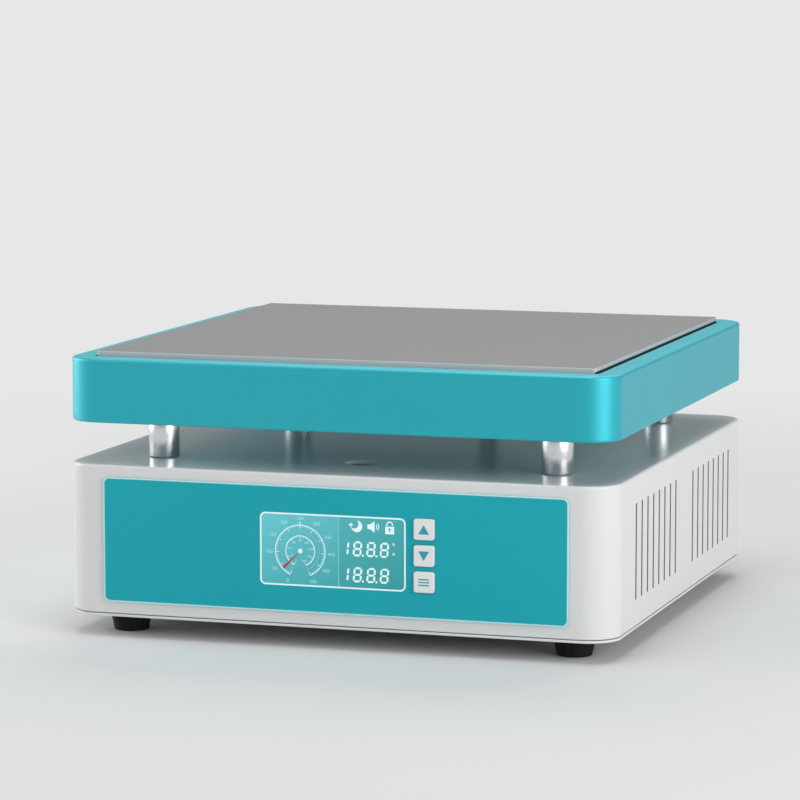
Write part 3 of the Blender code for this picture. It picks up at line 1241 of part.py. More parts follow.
def mains_leads(entry_y, entry_z, out_y):
    """Live to the switch and on to the board, neutral straight to the board, earth to the stud."""
    socket_z = INLET_Z + SOCKET_ABOVE_CENTRE
    pin_tail = REAR - INLET_BODY_DEPTH - PIN_TAIL - FIT
    pin_clear = pin_tail - LEAD_STRAIGHT
    switch_tail = REAR - SWITCH_BODY_DEPTH - FIT
    switch_clear = switch_tail - LEAD_STRAIGHT
    live = [
        (INLET_X - PIN_SPACING, pin_tail, socket_z - PIN_OFFSET),
        (INLET_X - PIN_SPACING, pin_clear, socket_z - PIN_OFFSET),
        (SWITCH_X, switch_clear, SWITCH_Z + SWITCH_TERMINAL_OFFSET),
        (SWITCH_X, switch_tail, SWITCH_Z + SWITCH_TERMINAL_OFFSET),
    ]
    tube("live_lead", smooth_route(live), LEAD_RADIUS, WIRE_BROWN, resolution=1)
    switched = [
        (SWITCH_X, switch_tail, SWITCH_Z - SWITCH_TERMINAL_OFFSET),
        (SWITCH_X, switch_clear, SWITCH_Z - SWITCH_TERMINAL_OFFSET),
        (terminal_x(4), out_y, entry_z),
        (terminal_x(4), entry_y, entry_z),
    ]
    tube("switched_live_lead", smooth_route(switched), LEAD_RADIUS, WIRE_BROWN, resolution=1)
    neutral = [
        (INLET_X + PIN_SPACING, pin_tail, socket_z - PIN_OFFSET),
        (INLET_X + PIN_SPACING, pin_clear, socket_z - PIN_OFFSET),
        (INLET_X, pin_clear - 2 * LEAD_STRAIGHT / 3, socket_z - PIN_OFFSET - LEAD_STRAIGHT),
        (SWITCH_X + SWITCH_BEZEL_WIDTH, out_y, entry_z),
        (terminal_x(5), out_y - LEAD_STRAIGHT, entry_z),
        (terminal_x(5), entry_y, entry_z),
    ]
    tube("neutral_lead", smooth_route(neutral), LEAD_RADIUS, WIRE_BLUE, resolution=1)
    stud_top = BOTTOM_TOP + EARTH_STUD_HEIGHT + FIT
    earth = [
        (INLET_X, pin_tail, socket_z + PIN_OFFSET),
        (INLET_X, pin_clear, socket_z + PIN_OFFSET),
        (INLET_X, EARTH_STUD_Y, stud_top + 2 * LEAD_STRAIGHT),
        (INLET_X, EARTH_STUD_Y, stud_top),
    ]
    tube("earth_lead", smooth_route(earth), LEAD_RADIUS, WIRE_GREEN, resolution=1)


clear_scene()
PARTS = new_collection("pcb_preheater")
CUTTERS = new_collection("cutters")
WHITE = material("white powder coat", 0xE8E8EA, 0.35)
TEAL = material("teal paint", 0x2CA7B4, 0.35)
KEY_WHITE = material("white key plastic", 0xE4E4E0, 0.4)
RUBBER = material("black rubber", 0x141414, 0.8)
STEEL = material("zinc-plated steel", 0xB4B6B8, 0.35, metallic=1.0)
CHROME = material("polished steel tube", 0xD8D8DA, 0.08, metallic=1.0)
ALUMINIUM = material("milled aluminium", 0xA8A8A9, 0.45, metallic=1.0)
CERAMIC_FIBRE = material("ceramic fibre", 0xE9E6DC, 0.95)
CLEAR = material("clear window", 0xB8E6EA, 0.05, alpha=0.4)
LCD_BLUE = material("display glass", 0x4DB6C0, 0.2)
BOARD_GREEN = material("circuit board", 0x2E6B45, 0.5)
BLACK = material("black moulded plastic", 0x1A1A1B, 0.45)
BRASS = material("nickel-plated brass", 0xC8C2AE, 0.25, metallic=1.0)
GLASS = material("fuse glass", 0xDDE4E4, 0.1)
ROCKER_BLACK = material("rocker plastic", 0x1C1C1E, 0.3)
WIRE_WHITE = material("white silicone wire", 0xDAD8D2, 0.6)
WIRE_BROWN = material("brown wire", 0x5A3A26, 0.5)
WIRE_BLUE = material("blue wire", 0x2A5CA8, 0.5)
WIRE_GREEN = material("green wire", 0x4C8F3A, 0.5)

# Where each button sits on the panel, in pitches above the middle one.
BUTTONS = {"button_up": 1, "button_down": 0, "button_set": -1}

base_shell()
bottom_plate()
feet()
posts()
shroud()
shroud_floor()
shroud_screws()
heating_plate()
heater_layers()
lead_bush()
control_panel()
inlet()
rocker_switch()
power_board()
leads()
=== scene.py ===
"""Looks of a bench preheater for circuit boards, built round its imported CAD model.

Metres, +Z up, +Y to the back. The sections follow the order in which the preheater is put together.
"""

import math

import bpy
import numpy as np
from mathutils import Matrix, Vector


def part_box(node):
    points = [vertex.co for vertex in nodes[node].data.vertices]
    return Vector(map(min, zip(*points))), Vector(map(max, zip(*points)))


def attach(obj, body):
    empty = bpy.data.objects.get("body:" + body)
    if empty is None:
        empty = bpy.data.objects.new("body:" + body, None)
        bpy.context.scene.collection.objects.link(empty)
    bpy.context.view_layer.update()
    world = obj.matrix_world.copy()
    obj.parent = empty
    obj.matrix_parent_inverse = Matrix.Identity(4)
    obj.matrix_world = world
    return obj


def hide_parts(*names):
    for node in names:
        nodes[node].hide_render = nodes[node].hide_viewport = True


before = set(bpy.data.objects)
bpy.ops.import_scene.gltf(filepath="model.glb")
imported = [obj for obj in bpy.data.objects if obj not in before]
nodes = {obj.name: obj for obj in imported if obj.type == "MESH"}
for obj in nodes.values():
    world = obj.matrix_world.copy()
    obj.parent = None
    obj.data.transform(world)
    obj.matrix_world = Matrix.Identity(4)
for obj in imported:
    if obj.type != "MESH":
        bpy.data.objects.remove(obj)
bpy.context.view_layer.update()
MM = 0.001


# Camera.
# A long lens, a little right of the middle and seven degrees up. The aim and the distance come from
# the straight edges of the real preheater.
def linked(name, data):
    """A new object in the scene that shows the data."""
    made = bpy.data.objects.new(name, data)
    bpy.context.scene.collection.objects.link(made)
    return made


CAMERA_AZIMUTH = math.radians(17.707)
CAMERA_ELEVATION = math.radians(7.04)
CAMERA_DISTANCE = 1528.4 * MM
CAMERA_AIM = Vector((-8.43, 0, 82.7)) * MM
LENS = 169.1

backwards = Vector((
    math.sin(CAMERA_AZIMUTH) * math.cos(CAMERA_ELEVATION),
    -math.cos(CAMERA_AZIMUTH) * math.cos(CAMERA_ELEVATION),
    math.sin(CAMERA_ELEVATION),
))
camera = linked("camera", bpy.data.cameras.new("camera"))
camera.data.lens = LENS
camera.data.sensor_width = 36
camera.data.clip_end = 100
camera.location = CAMERA_AIM + backwards * CAMERA_DISTANCE
camera.rotation_euler = backwards.to_track_quat("Z", "Y").to_euler()
bpy.context.scene.camera = camera
bpy.context.scene.view_settings.view_transform = "Standard"


# Floor and light.
# A pale matt table top, far wider than the view, so that only floor shows behind the preheater.
def colour(hex_value):
    """An sRGB hex colour, such as 0x2BA6B4, as linear red, green, blue and alpha."""
    channels = np.array([hex_value >> shift & 255 for shift in (16, 8, 0)]) / 255
    linear = np.where(channels <= 0.04045, channels / 12.92, ((channels + 0.055) / 1.055) ** 2.4)
    return (*linear.tolist(), 1.0)


def add_node(tree, kind, inputs=(), **settings):
    """Adds a shader node with its settings. An input is a value, a socket, or a node for its first output."""
    made = tree.nodes.new("ShaderNode" + kind)
    for name, value in settings.items():
        setattr(made, name, value)
    for name, value in dict(inputs).items():
        if isinstance(value, bpy.types.Node):
            value = value.outputs[0]
        if isinstance(value, bpy.types.NodeSocket):
            tree.links.new(value, made.inputs[name])
        else:
            made.inputs[name].default_value = value
    return made


def material(name):
    """A new node material: its data, its empty tree, and the object's own coordinates in metres."""
    made = bpy.data.materials.new(name)
    made.use_nodes = True
    made.node_tree.nodes.clear()
    place = add_node(made.node_tree, "TexCoord")
    return made, made.node_tree, place.outputs["Object"]


def surface_out(tree, shader):
    """Sends a shader to the material's surface."""
    add_node(tree, "OutputMaterial", {"Surface": shader})


# An edge that turns by more than this looks sharp.
SHARP = math.radians(30)


def grid_mesh(name, grid, around=True, closed=False, caps=False):
    """A mesh over a grid of points, rows by columns: neighbouring points make a quad.

    Around joins the last column to the first, closed the last row to the first, and caps fill both end rows.
    """
    rows, columns = grid.shape[:2]
    index = np.arange(rows * columns).reshape(rows, columns)
    if around:
        index = np.hstack([index, index[:, :1]])
    if closed:
        index = np.vstack([index, index[:1]])
    quads = np.stack([index[:-1, :-1], index[:-1, 1:], index[1:, 1:], index[1:, :-1]], -1).reshape(-1, 4)
    faces = quads.tolist()
    if caps:
        loop = np.arange(columns)
        faces += [loop[::-1].tolist(), (loop + (rows - 1) * columns).tolist()]
    mesh = bpy.data.meshes.new(name)
    mesh.from_pydata(grid.reshape(-1, 3).tolist(), [], faces)
    mesh.shade_smooth()
    mesh.set_sharp_from_angle(angle=SHARP)
    return linked(name, mesh)


FLOOR_HALF = 45.0
floor_x, floor_y = np.meshgrid([-FLOOR_HALF, FLOOR_HALF], [-FLOOR_HALF, FLOOR_HALF])
floor = grid_mesh("floor", np.stack([floor_x, floor_y, 0 * floor_x], -1), around=False)
table_top, tree, place = material("matt table top")

# Near the preheater the floor shows its shadow. From 0.3 to 0.8 m out it fades to one even tone.
NEAR, FAR = 0.3, 0.8
away = add_node(tree, "VectorMath", {0: place}, operation="LENGTH")
fade = add_node(tree, "MapRange", {"Value": away.outputs["Value"], "From Min": NEAR, "From Max": FAR},
                interpolation_type="SMOOTHSTEP")
path = add_node(tree, "LightPath")
seen = add_node(tree, "Math", {0: path.outputs["Is Camera Ray"], 1: path.outputs["Is Glossy Ray"]},
                operation="MAXIMUM")
evened = add_node(tree, "Math", {0: fade, 1: seen}, operation="MULTIPLY")
matt = add_node(tree, "BsdfDiffuse", {"Color": colour(0xD6D7D7)})
even = add_node(tree, "Emission", {"Color": colour(0xE6E7E7)})
surface_out(tree, add_node(tree, "MixShader", {0: evened, 1: matt, 2: even}))
floor.data.materials.append(table_top)

# A dim even sky and six softboxes: on each side, front left, behind left, overhead, and above behind.
# A small panel nearer in on each side makes the light fall off towards the middle of the front.
SKY_STRENGTH = 0.25
world = bpy.data.worlds.new("studio")
world.use_nodes = True
sky = world.node_tree.nodes["Background"].inputs
sky["Color"].default_value = colour(0xFFFFFF)
sky["Strength"].default_value = SKY_STRENGTH
bpy.context.scene.world = world


def softbox(name, azimuth, elevation, distance, width, height, power):
    """A lamp on a sphere round the preheater, turned to its middle: in degrees, metres and watts."""
    turn, rise = math.radians(azimuth), math.radians(elevation)
    away = Vector((math.sin(turn) * math.cos(rise), -math.cos(turn) * math.cos(rise), math.sin(rise)))
    lamp = bpy.data.lights.new(name, "AREA")
    lamp.shape = "RECTANGLE"
    lamp.size = width
    lamp.size_y = height
    lamp.energy = power
    made = linked(name, lamp)
    made.location = Vector((0, 0, 0.06)) + away * distance
    made.rotation_euler = away.to_track_quat("Z", "Y").to_euler()


softbox("softbox right", 60, 14, 1.5, 1.1, 1.0, 10.5)
softbox("panel near right", 66, 8, 0.9, 0.5, 0.6, 1.8)
softbox("softbox front left", -40, 26, 2.0, 1.0, 1.2, 4.6)
softbox("softbox above", 10, 78, 2.0, 1.1, 1.1, 14)
softbox("softbox above behind", 180, 50, 1.6, 1.6, 1.0, 9)
softbox("softbox left", -78, 14, 1.6, 0.8, 1.2, 6.5)
softbox("panel near left", -95, 12, 0.9, 0.5, 0.7, 3)
softbox("softbox behind left", -115, 14, 1.7, 0.9, 1.2, 1)


# Feet.
# Four tapered feet of moulded black rubber. A pan-head screw in the hollow of each holds it to the box.
def lathe(name, profile, centre, sides=64, axis="Z", **options):
    """A turned surface: each (radius, height) of the profile, swept in a full circle about Z or Y."""
    radius, height = np.array(profile, float).T
    turn = np.arange(sides) / sides * math.tau
    across, along = np.cos(turn), np.sin(turn)
    loops = np.stack([radius[:, None] * across, radius[:, None] * along, height[:, None] + 0 * across], -1)
    if axis == "Y":
        loops = loops[..., [0, 2, 1]] * (-1, 1, 1)
    return grid_mesh(name, loops + np.array(centre), **options)


def fillet(centre, radius, start, end, steps=6):
    """Points of an arc in the profile plane, from one angle to another, in degrees."""
    angles = np.radians(np.linspace(start, end, steps + 1))
    return [(centre[0] + radius * math.cos(a), centre[1] + radius * math.sin(a)) for a in angles]


def dress(piece, finish, body="base", replaces=()):
    """Gives a piece its finish, its body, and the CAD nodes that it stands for."""
    if finish.name not in piece.data.materials:
        piece.data.materials.clear()
        piece.data.materials.append(finish)
    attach(piece, body)
    if replaces:
        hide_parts(*replaces)
    return piece


def grained(name, hex_value, roughness, grain, relief, depth, detail=2.0, more=()):
    """A finish of one colour with a fine grain: its width and depth in millimetres, and its strength."""
    made, tree, place = material(name)
    noise = add_node(tree, "TexNoise", {"Vector": place, "Scale": 1 / (grain * MM), "Detail": detail})
    bump = add_node(tree, "Bump", {"Height": noise, "Strength": relief, "Distance": depth * MM})
    surface_out(tree, add_node(tree, "BsdfPrincipled", {
        "Base Color": colour(hex_value), "Roughness": roughness, "Normal": bump, **dict(more)}))
    return made


# Moulded black rubber: matt, with a grain of about half a millimetre.
foot_rubber = grained("moulded black rubber", 0x0D0D0E, 0.7, grain=0.5, relief=0.5, depth=0.03,
                      more={"Specular IOR Level": 0.3})

CORNERS = {"front_left": (-1, -1), "front_right": (1, -1), "rear_left": (-1, 1), "rear_right": (1, 1)}
FOOT_X, FOOT_Y, SCREW_HOLE = 90 * MM, 91 * MM, 2.3 * MM
FEET = {corner: (x * FOOT_X, y * FOOT_Y, 0) for corner, (x, y) in CORNERS.items()}
FOOT_TOP_RADIUS, TREAD_RADIUS, FOOT_WELL, FOOT_WELL_TOP = 8.25 * MM, 6.9 * MM, 4.2 * MM, 4.5 * MM
foot_top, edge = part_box("foot_front_left")[1].z, 0.7 * MM
profile = [(SCREW_HOLE, FOOT_WELL_TOP), (FOOT_WELL, FOOT_WELL_TOP)]
profile += [(FOOT_WELL, 0.3 * MM), (FOOT_WELL + 0.3 * MM, 0)]
profile += fillet((TREAD_RADIUS - edge, edge), edge, -90, 10)
profile += fillet((FOOT_TOP_RADIUS - edge, foot_top - edge), edge, 10, 90)
profile += [(SCREW_HOLE, foot_top)]
for corner, at in FEET.items():
    foot = lathe(f"rubber_foot_{corner}", profile, at, closed=True)
    dress(foot, foot_rubber, replaces=[f"foot_{corner}"])

# Screws and bolts.
# Pan-head, socket-head and countersunk steel screws, bright zinc plated. The plating has a faint
# blue tint and fine mottling, about 0.8 mm across.
def mottled(name, tones, gloss, patch, detail=2.0, metallic=1.0):
    """A smooth finish. Where tones or gloss hold two values, it drifts between them in patches, in mm."""
    made, tree, place = material(name)
    drift = add_node(tree, "TexNoise", {"Vector": place, "Scale": 1 / (patch * MM), "Detail": detail})
    base, roughness = colour(tones[0]), gloss[0]
    if len(tones) == 2:
        base = add_node(tree, "Mix", {0: drift, 6: base, 7: colour(tones[1])}, data_type="RGBA").outputs[2]
    if len(gloss) == 2:
        roughness = add_node(tree, "MapRange", {"Value": drift, "To Min": gloss[0], "To Max": gloss[1]})
    surface_out(tree, add_node(tree, "BsdfPrincipled", {
        "Base Color": base, "Metallic": metallic, "Roughness": roughness}))
    return made


def repaint(finish, *names):
    """Gives CAD nodes a finish in place of their plain one."""
    for name in names:
        nodes[name].data.materials.clear()
        nodes[name].data.materials.append(finish)


zinc_plating = mottled("bright zinc plating", [0xB4B8BC, 0xC8CACB], [0.22, 0.36], 0.8, 3.0)
for corner in CORNERS:
    repaint(zinc_plating, f"foot_screw_{corner}", f"post_bolt_{corner}", f"shroud_screw_{corner}")
repaint(zinc_plating, "inlet_screw_left", "inlet_screw_right")


# Control box: bottom plate.
# A 1 mm steel plate that closes the box from below, powder coated white like the cover, with
# swaged pillars for the power board and an earth stud.
def rounded(half_x, half_y, radius, level, steps=12):
    """Points round a rectangle with round corners, counter-clockwise. Each corner is a quarter circle.

    A further point 0.4 mm before and after each quarter keeps the flat sides flat in the shading.
    """
    angle = np.radians(np.linspace(0, 90, steps + 1))
    quarter = np.stack([np.cos(angle), np.sin(angle)], -1) * radius
    ease = min(0.4 * MM, half_x / 4, half_y / 4)
    quarter = np.vstack([quarter[:1] - (0, ease), quarter, quarter[-1:] - (ease, 0)])
    quarter += np.array([half_x - radius, half_y - radius])
    signs = ((1, 1), (-1, 1), (-1, -1), (1, -1))
    points = np.vstack([(quarter * sign)[::sign[0] * sign[1]] for sign in signs])
    return np.column_stack([points, np.full(len(points), level)])


# How a stack of loops is turned, so that its levels run up, forwards, backwards or to the right.
TURNS = {
    "up": ([0, 1, 2], (1, 1, 1)),
    "front": ([0, 2, 1], (1, -1, 1)),
    "back": ([0, 2, 1], (-1, 1, 1)),
    "side": ([2, 0, 1], (1, 1, 1)),
}


def stacked(name, rows, centre=(0, 0, 0), steps=12, facing="up", **options):
    """A surface through rounded rectangles, each given as (half width, half height, corner radius, level)."""
    order, signs = TURNS[facing]
    loops = np.stack([rounded(*row, steps=steps) for row in rows])
    return grid_mesh(name, loops[..., order] * signs + np.array(centre), **options)


def bar(name, half_wide, half_high, radius, centre, low, high, facing="up"):
    """A closed bar with a rounded rectangular section, between two levels."""
    rows = [(half_wide, half_high, radius, low), (half_wide, half_high, radius, high)]
    return stacked(name, rows, centre, steps=4, facing=facing, caps=True)


def carve(piece, other, operation="DIFFERENCE"):
    """Cuts a closed shape out of a piece, or unites the two, and removes the other object."""
    modifier = piece.modifiers.new("carve", "BOOLEAN")
    modifier.operation = operation
    modifier.solver = "EXACT"
    modifier.material_mode = "TRANSFER"
    modifier.object = other
    graph = bpy.context.evaluated_depsgraph_get()
    mesh = bpy.data.meshes.new_from_object(piece.evaluated_get(graph))
    piece.modifiers.clear()
    piece.data = mesh
    mesh.shade_smooth()
    mesh.set_sharp_from_angle(angle=SHARP)
    bpy.data.objects.remove(other)


def joined(name, pieces):
    """One mesh object out of several."""
    with bpy.context.temp_override(active_object=pieces[0], selected_editable_objects=pieces):
        bpy.ops.object.join()
    pieces[0].name = name
    return pieces[0]


def shrunk(half_x, half_y, radius, inset_rows):
    """Rounded rectangles that shrink evenly: each row gives an inset and a level."""
    return [(half_x - inset, half_y - inset, radius - inset, level) for inset, level in inset_rows]


def orange_peel(tree, place, ripple, relief, cloud, glossiest, dullest):
    """The skin of a baked coat: gentle ripples, and a gloss that drifts in clouds. Both in millimetres."""
    peel = add_node(tree, "TexNoise", {
        "Vector": place, "Scale": 1 / (ripple * MM), "Detail": 1.5, "Roughness": 0.4})
    bump = add_node(tree, "Bump", {"Height": peel, "Strength": relief, "Distance": 0.02 * MM})
    drift = add_node(tree, "TexNoise", {"Vector": place, "Scale": 1 / (cloud * MM), "Detail": 2.0})
    gloss = add_node(tree, "MapRange", {"Value": drift, "To Min": glossiest, "To Max": dullest})
    return {"Roughness": gloss, "Normal": bump}


# Powder coat baked on steel: glossy, with an orange peel of gentle ripples about 1.6 mm apart.
white_coat, tree, place = material("white powder coat")
skin = orange_peel(tree, place, 1.6, 0.08, 35, 0.15, 0.19)
surface_out(tree, add_node(tree, "BsdfPrincipled", {"Base Color": colour(0xDBDCDC), **skin}))
low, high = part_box("bottom_plate")
BOX_X, BOX_Y, BOX_CORNER = high.x, high.y, 13 * MM
PLATE_TOP, edge = 9.2 * MM, 0.3 * MM
profile = [(3 * edge, low.z)] + fillet((edge, low.z + edge), edge, -90, -180)
profile += [(0, PLATE_TOP - 0.2 * MM), (0.2 * MM, PLATE_TOP), (2 * edge, PLATE_TOP)]
bottom = stacked("bottom_cover", shrunk(BOX_X, BOX_Y, BOX_CORNER, profile), steps=24, caps=True)
drill = [(SCREW_HOLE, 5 * MM), (SCREW_HOLE, 15 * MM)]
holes = [lathe("hole", drill, at, 24, caps=True) for at in FEET.values()]
carve(bottom, joined("holes", holes))
PILLARS, EARTH_STUD = np.array([(-79, -19), (-79, 49), (9, -19), (9, 49)]) * MM, (60 * MM, 56 * MM, 0)
PILLAR_PROFILE = np.array([(3.5, 9.1), (3.5, 18.2), (3.2, 18.5), (1.3, 18.5), (1.3, 21.4), (1.0, 21.7)]) * MM
EARTH_STUD_PROFILE = np.array([(2.0, 9.1), (2.0, 18.2), (1.7, 18.5)]) * MM
standing = [lathe("pillar", PILLAR_PROFILE, (x, y, 0), 32, caps=True) for x, y in PILLARS]
standing.append(lathe("stud", EARTH_STUD_PROFILE, EARTH_STUD, 32, caps=True))
carve(bottom, joined("standing", standing), "UNION")
dress(bottom, white_coat, replaces=["bottom_plate"])

# Control box: cover.
# One deep cover of 1.5 mm sheet steel, its corners rounded to 13 mm and its top edge to 1 mm, powder
# coated white. Two banks of vent slots are punched in each side.
WALL, TOP_EDGE = 1.5 * MM, 1.0 * MM
COVER_LOW, COVER_TOP = 9.5 * MM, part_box("base_shell")[1].z
profile = [(7 * MM, COVER_TOP - WALL), (2.4 * MM, COVER_TOP - WALL)]
profile += fillet((WALL + 0.3 * MM, COVER_TOP - WALL - 0.3 * MM), 0.3 * MM, 90, 180, 3)
profile += [(WALL, COVER_LOW + 0.1 * MM), (WALL - 0.1 * MM, COVER_LOW), (0.3 * MM, COVER_LOW)]
profile += [(0, COVER_LOW + 0.3 * MM), (0, COVER_LOW + 0.8 * MM), (0, COVER_TOP - TOP_EDGE - 0.4 * MM)]
profile += fillet((TOP_EDGE, COVER_TOP - TOP_EDGE), TOP_EDGE, 180, 90, 8)
profile += [(1.8 * MM, COVER_TOP)]
cover = stacked("cover", shrunk(BOX_X, BOX_Y, BOX_CORNER, profile), steps=28, caps=True)

# Slots: 2.0 x 37.3 mm, 9.1 mm apart, eight to a bank. A cutter reaches 4 mm to each side of a wall.
REACH = 4 * MM
SLOT_HALF_WIDE, SLOT_HALF_HIGH, SLOT_END, SLOT_PITCH = 1.0 * MM, 18.65 * MM, 0.7 * MM, 9.1 * MM
SLOT_Z, BANK_MIDDLES = 38.2 * MM, (-44.45 * MM, 48.45 * MM)
slots = []
for side in (-BOX_X, BOX_X):
    for bank in BANK_MIDDLES:
        for number in range(8):
            at = (side, bank + (number - 3.5) * SLOT_PITCH, SLOT_Z)
            slots.append(bar("slot", SLOT_HALF_WIDE, SLOT_HALF_HIGH, SLOT_END, at, -REACH, REACH, "side"))
# The slot walls are dark grey: painted shade, standing for the shadow inside the slots.
slot_wall_shade = mottled("dark slot walls as painted shade", [0x7E7F82, 0x909194], [0.5], 0.8, metallic=0.0)
slots = joined("slots", slots)
cover.data.materials.append(white_coat)
slots.data.materials.append(slot_wall_shade)
carve(cover, slots)

# Holes for the display window, the keys, the leads, the post bolts, the inlet and the switch.
KEY_X, KEY_HALF = 37 * MM, 4 * MM
KEY_Z = {"button_up": 48.55 * MM, "button_down": 38.5 * MM, "button_set": 28.45 * MM}
WINDOW_HALF_X, WINDOW_HALF_Z, WINDOW_Z = 29.1 * MM, 13.75 * MM, 38.2 * MM
POST_OUT, BUSH_Y, TOP_HOLE_Y = 80 * MM, 99 * MM, -75 * MM
TOP_HOLE, BUSH_HOLE, POST_BORE, INLET_SCREW_HOLE = 6.8 * MM, 6.3 * MM, 2.8 * MM, 1.8 * MM
INLET_X, INLET_Z, INLET_SCREWS, SWITCH_X = 60 * MM, 38.5 * MM, (40 * MM, 80 * MM), 18 * MM
FIT = 0.3 * MM


def front_hole(half_wide, half_high, radius, x, z, fit):
    """A bar through the front wall, a fit larger all round."""
    at = (x, -BOX_Y, z)
    return bar("hole", half_wide + fit, half_high + fit, radius + fit, at, -REACH, REACH, "front")


def front_holes(window_fit=FIT, key_fit=FIT):
    """Holes for the window and the three keys."""
    keys = [front_hole(KEY_HALF, KEY_HALF, 0.8 * MM, KEY_X, z, key_fit) for z in KEY_Z.values()]
    return [front_hole(WINDOW_HALF_X, WINDOW_HALF_Z, 1.8 * MM, 0, WINDOW_Z, window_fit), *keys]


def bore(radius, low, high, x, y, z=0.0, axis="Z"):
    """A round cutter between two levels of its axis."""
    return lathe("hole", [(radius, low), (radius, high)], (x, y, z), sides=48, axis=axis, caps=True)


holes = front_holes()
for x, half_x, half_z in ((INLET_X, 14.3 * MM, 16.05 * MM), (SWITCH_X, 6.7 * MM, 9.8 * MM)):
    holes.append(bar("hole", half_x, half_z, 0.3 * MM, (x, BOX_Y, INLET_Z), -REACH, REACH, "back"))
top_holes = [(TOP_HOLE, 0, TOP_HOLE_Y), (BUSH_HOLE, 0, BUSH_Y)]
top_holes += [(POST_BORE, x * POST_OUT, y * POST_OUT) for x, y in CORNERS.values()]
holes += [bore(radius, 60 * MM, 72 * MM, x, y) for radius, x, y in top_holes]
holes += [bore(INLET_SCREW_HOLE, 104 * MM, 118 * MM, x, 0, INLET_Z, "Y") for x in INLET_SCREWS]
carve(cover, joined("holes", holes))
dress(cover, white_coat, replaces=["base_shell"])

# A tab with a weld nut inside the cover over each foot.
TAB_X, TAB_HALF_X, TAB_HALF_Y = 95.4 * MM, 13.5 * MM, 8.5 * MM
NUT_PROFILE = np.array([(2.3, 11.4), (4.0, 11.4), (4.0, 16.2), (3.7, 16.5), (2.3, 16.5)]) * MM
for corner, at in FEET.items():
    tab_at = (CORNERS[corner][0] * TAB_X, at[1], 0)
    tab = bar("tab", TAB_HALF_X, TAB_HALF_Y, 1 * MM, tab_at, COVER_LOW, 11.5 * MM)
    carve(tab, bore(SCREW_HOLE, 8 * MM, 16 * MM, at[0], at[1]))
    nut = lathe("nut", NUT_PROFILE, at, sides=6, closed=True)
    dress(joined(f"weld_nut_tab_{corner}", [tab, nut]), white_coat)

# Shouldered studs behind the front wall. Their pins pass through the display board.
STUD_PROFILE = np.array([
    (2.5, -110.2), (2.5, -103.4), (2.3, -103.2), (1.3, -103.2), (1.3, -99.6), (1.0, -99.3)]) * MM
STUD_PLACES = [(x * MM, 0, z * MM) for x in (-37.5, 51.5) for z in (21.2, 55.2)]
studs = [lathe("stud", STUD_PROFILE, at, 24, axis="Y", caps=True) for at in STUD_PLACES]
dress(joined("display_studs", studs), white_coat)

# Front panel: overlay.
# A printed polyester overlay glued to the front: flat teal with a thin pale line round its edge.
OVERLAY_Z, OVERLAY_HALF_X, OVERLAY_HALF_Z, OVERLAY_CORNER = 38.5 * MM, 93 * MM, 24.25 * MM, 2.4 * MM
OVERLAY_BACK, OVERLAY_FACE = 111.3 * MM, 111.9 * MM

# Polyester film, printed on its back and lightly textured on its face: satin, grain about 0.3 mm.
teal_film, tree, place = material("teal printed polyester film")
texture = add_node(tree, "TexNoise", {"Vector": place, "Scale": 1 / (0.3 * MM), "Detail": 2.0})
bump = add_node(tree, "Bump", {"Height": texture, "Strength": 0.15, "Distance": 0.01 * MM})
ink = add_node(tree, "TexNoise", {"Vector": place, "Scale": 1 / (60 * MM), "Detail": 1.0})
tint = add_node(tree, "Mix", {0: ink, 6: colour(0x21A6B3), 7: colour(0x25AAB7)}, data_type="RGBA")
surface_out(tree, add_node(tree, "BsdfPrincipled", {
    "Base Color": tint.outputs[2], "Roughness": 0.45, "Specular IOR Level": 0.1, "Normal": bump}))

profile = [(0, OVERLAY_BACK), (0, OVERLAY_FACE - 0.15 * MM), (0.15 * MM, OVERLAY_FACE)]
rows = shrunk(OVERLAY_HALF_X, OVERLAY_HALF_Z, OVERLAY_CORNER, profile)
overlay = stacked("panel_overlay", rows, (0, 0, OVERLAY_Z), facing="front", caps=True)
carve(overlay, joined("holes", front_holes(0.02 * MM, 0.12 * MM)))
dress(overlay, teal_film, replaces=["control_overlay"])


def edge_line(name, half_wide, half_high, radius, centre, width, low):
    """A line of even width just inside a rounded rectangle, 0.03 mm proud of the overlay's face."""
    high = OVERLAY_FACE + 0.03 * MM
    profile = [(0, low), (0, high), (width, high), (width, low)]
    rows = shrunk(half_wide, half_high, radius, profile)
    return stacked(name, rows, (centre[0], 0, centre[1]), facing="front", closed=True)


# White screen-printed ink, and a paler cyan one for the overlay's edge: matt, opaque and even.
# The pale line round the overlay's edge is partly a painted highlight of the film's edge.
def ink_finish(name, hex_value, glow=0.0):
    """Printed ink or, with a glow, a lit segment of the display."""
    lit = {"Emission Color": colour(hex_value), "Emission Strength": glow} if glow else ()
    return grained(name, hex_value, 0.5, grain=0.2, relief=0.1, depth=0.005, detail=1.0, more=lit)


pale_ink = ink_finish("pale cyan ink", 0xBDEDF1)
# Partly painted highlight: the pale line also covers the film's shaded edge.
line = edge_line("overlay_edge_line", OVERLAY_HALF_X + 0.02 * MM, OVERLAY_HALF_Z + 0.02 * MM, OVERLAY_CORNER,
                 (0, OVERLAY_Z), 0.5 * MM, OVERLAY_BACK)
dress(line, pale_ink)
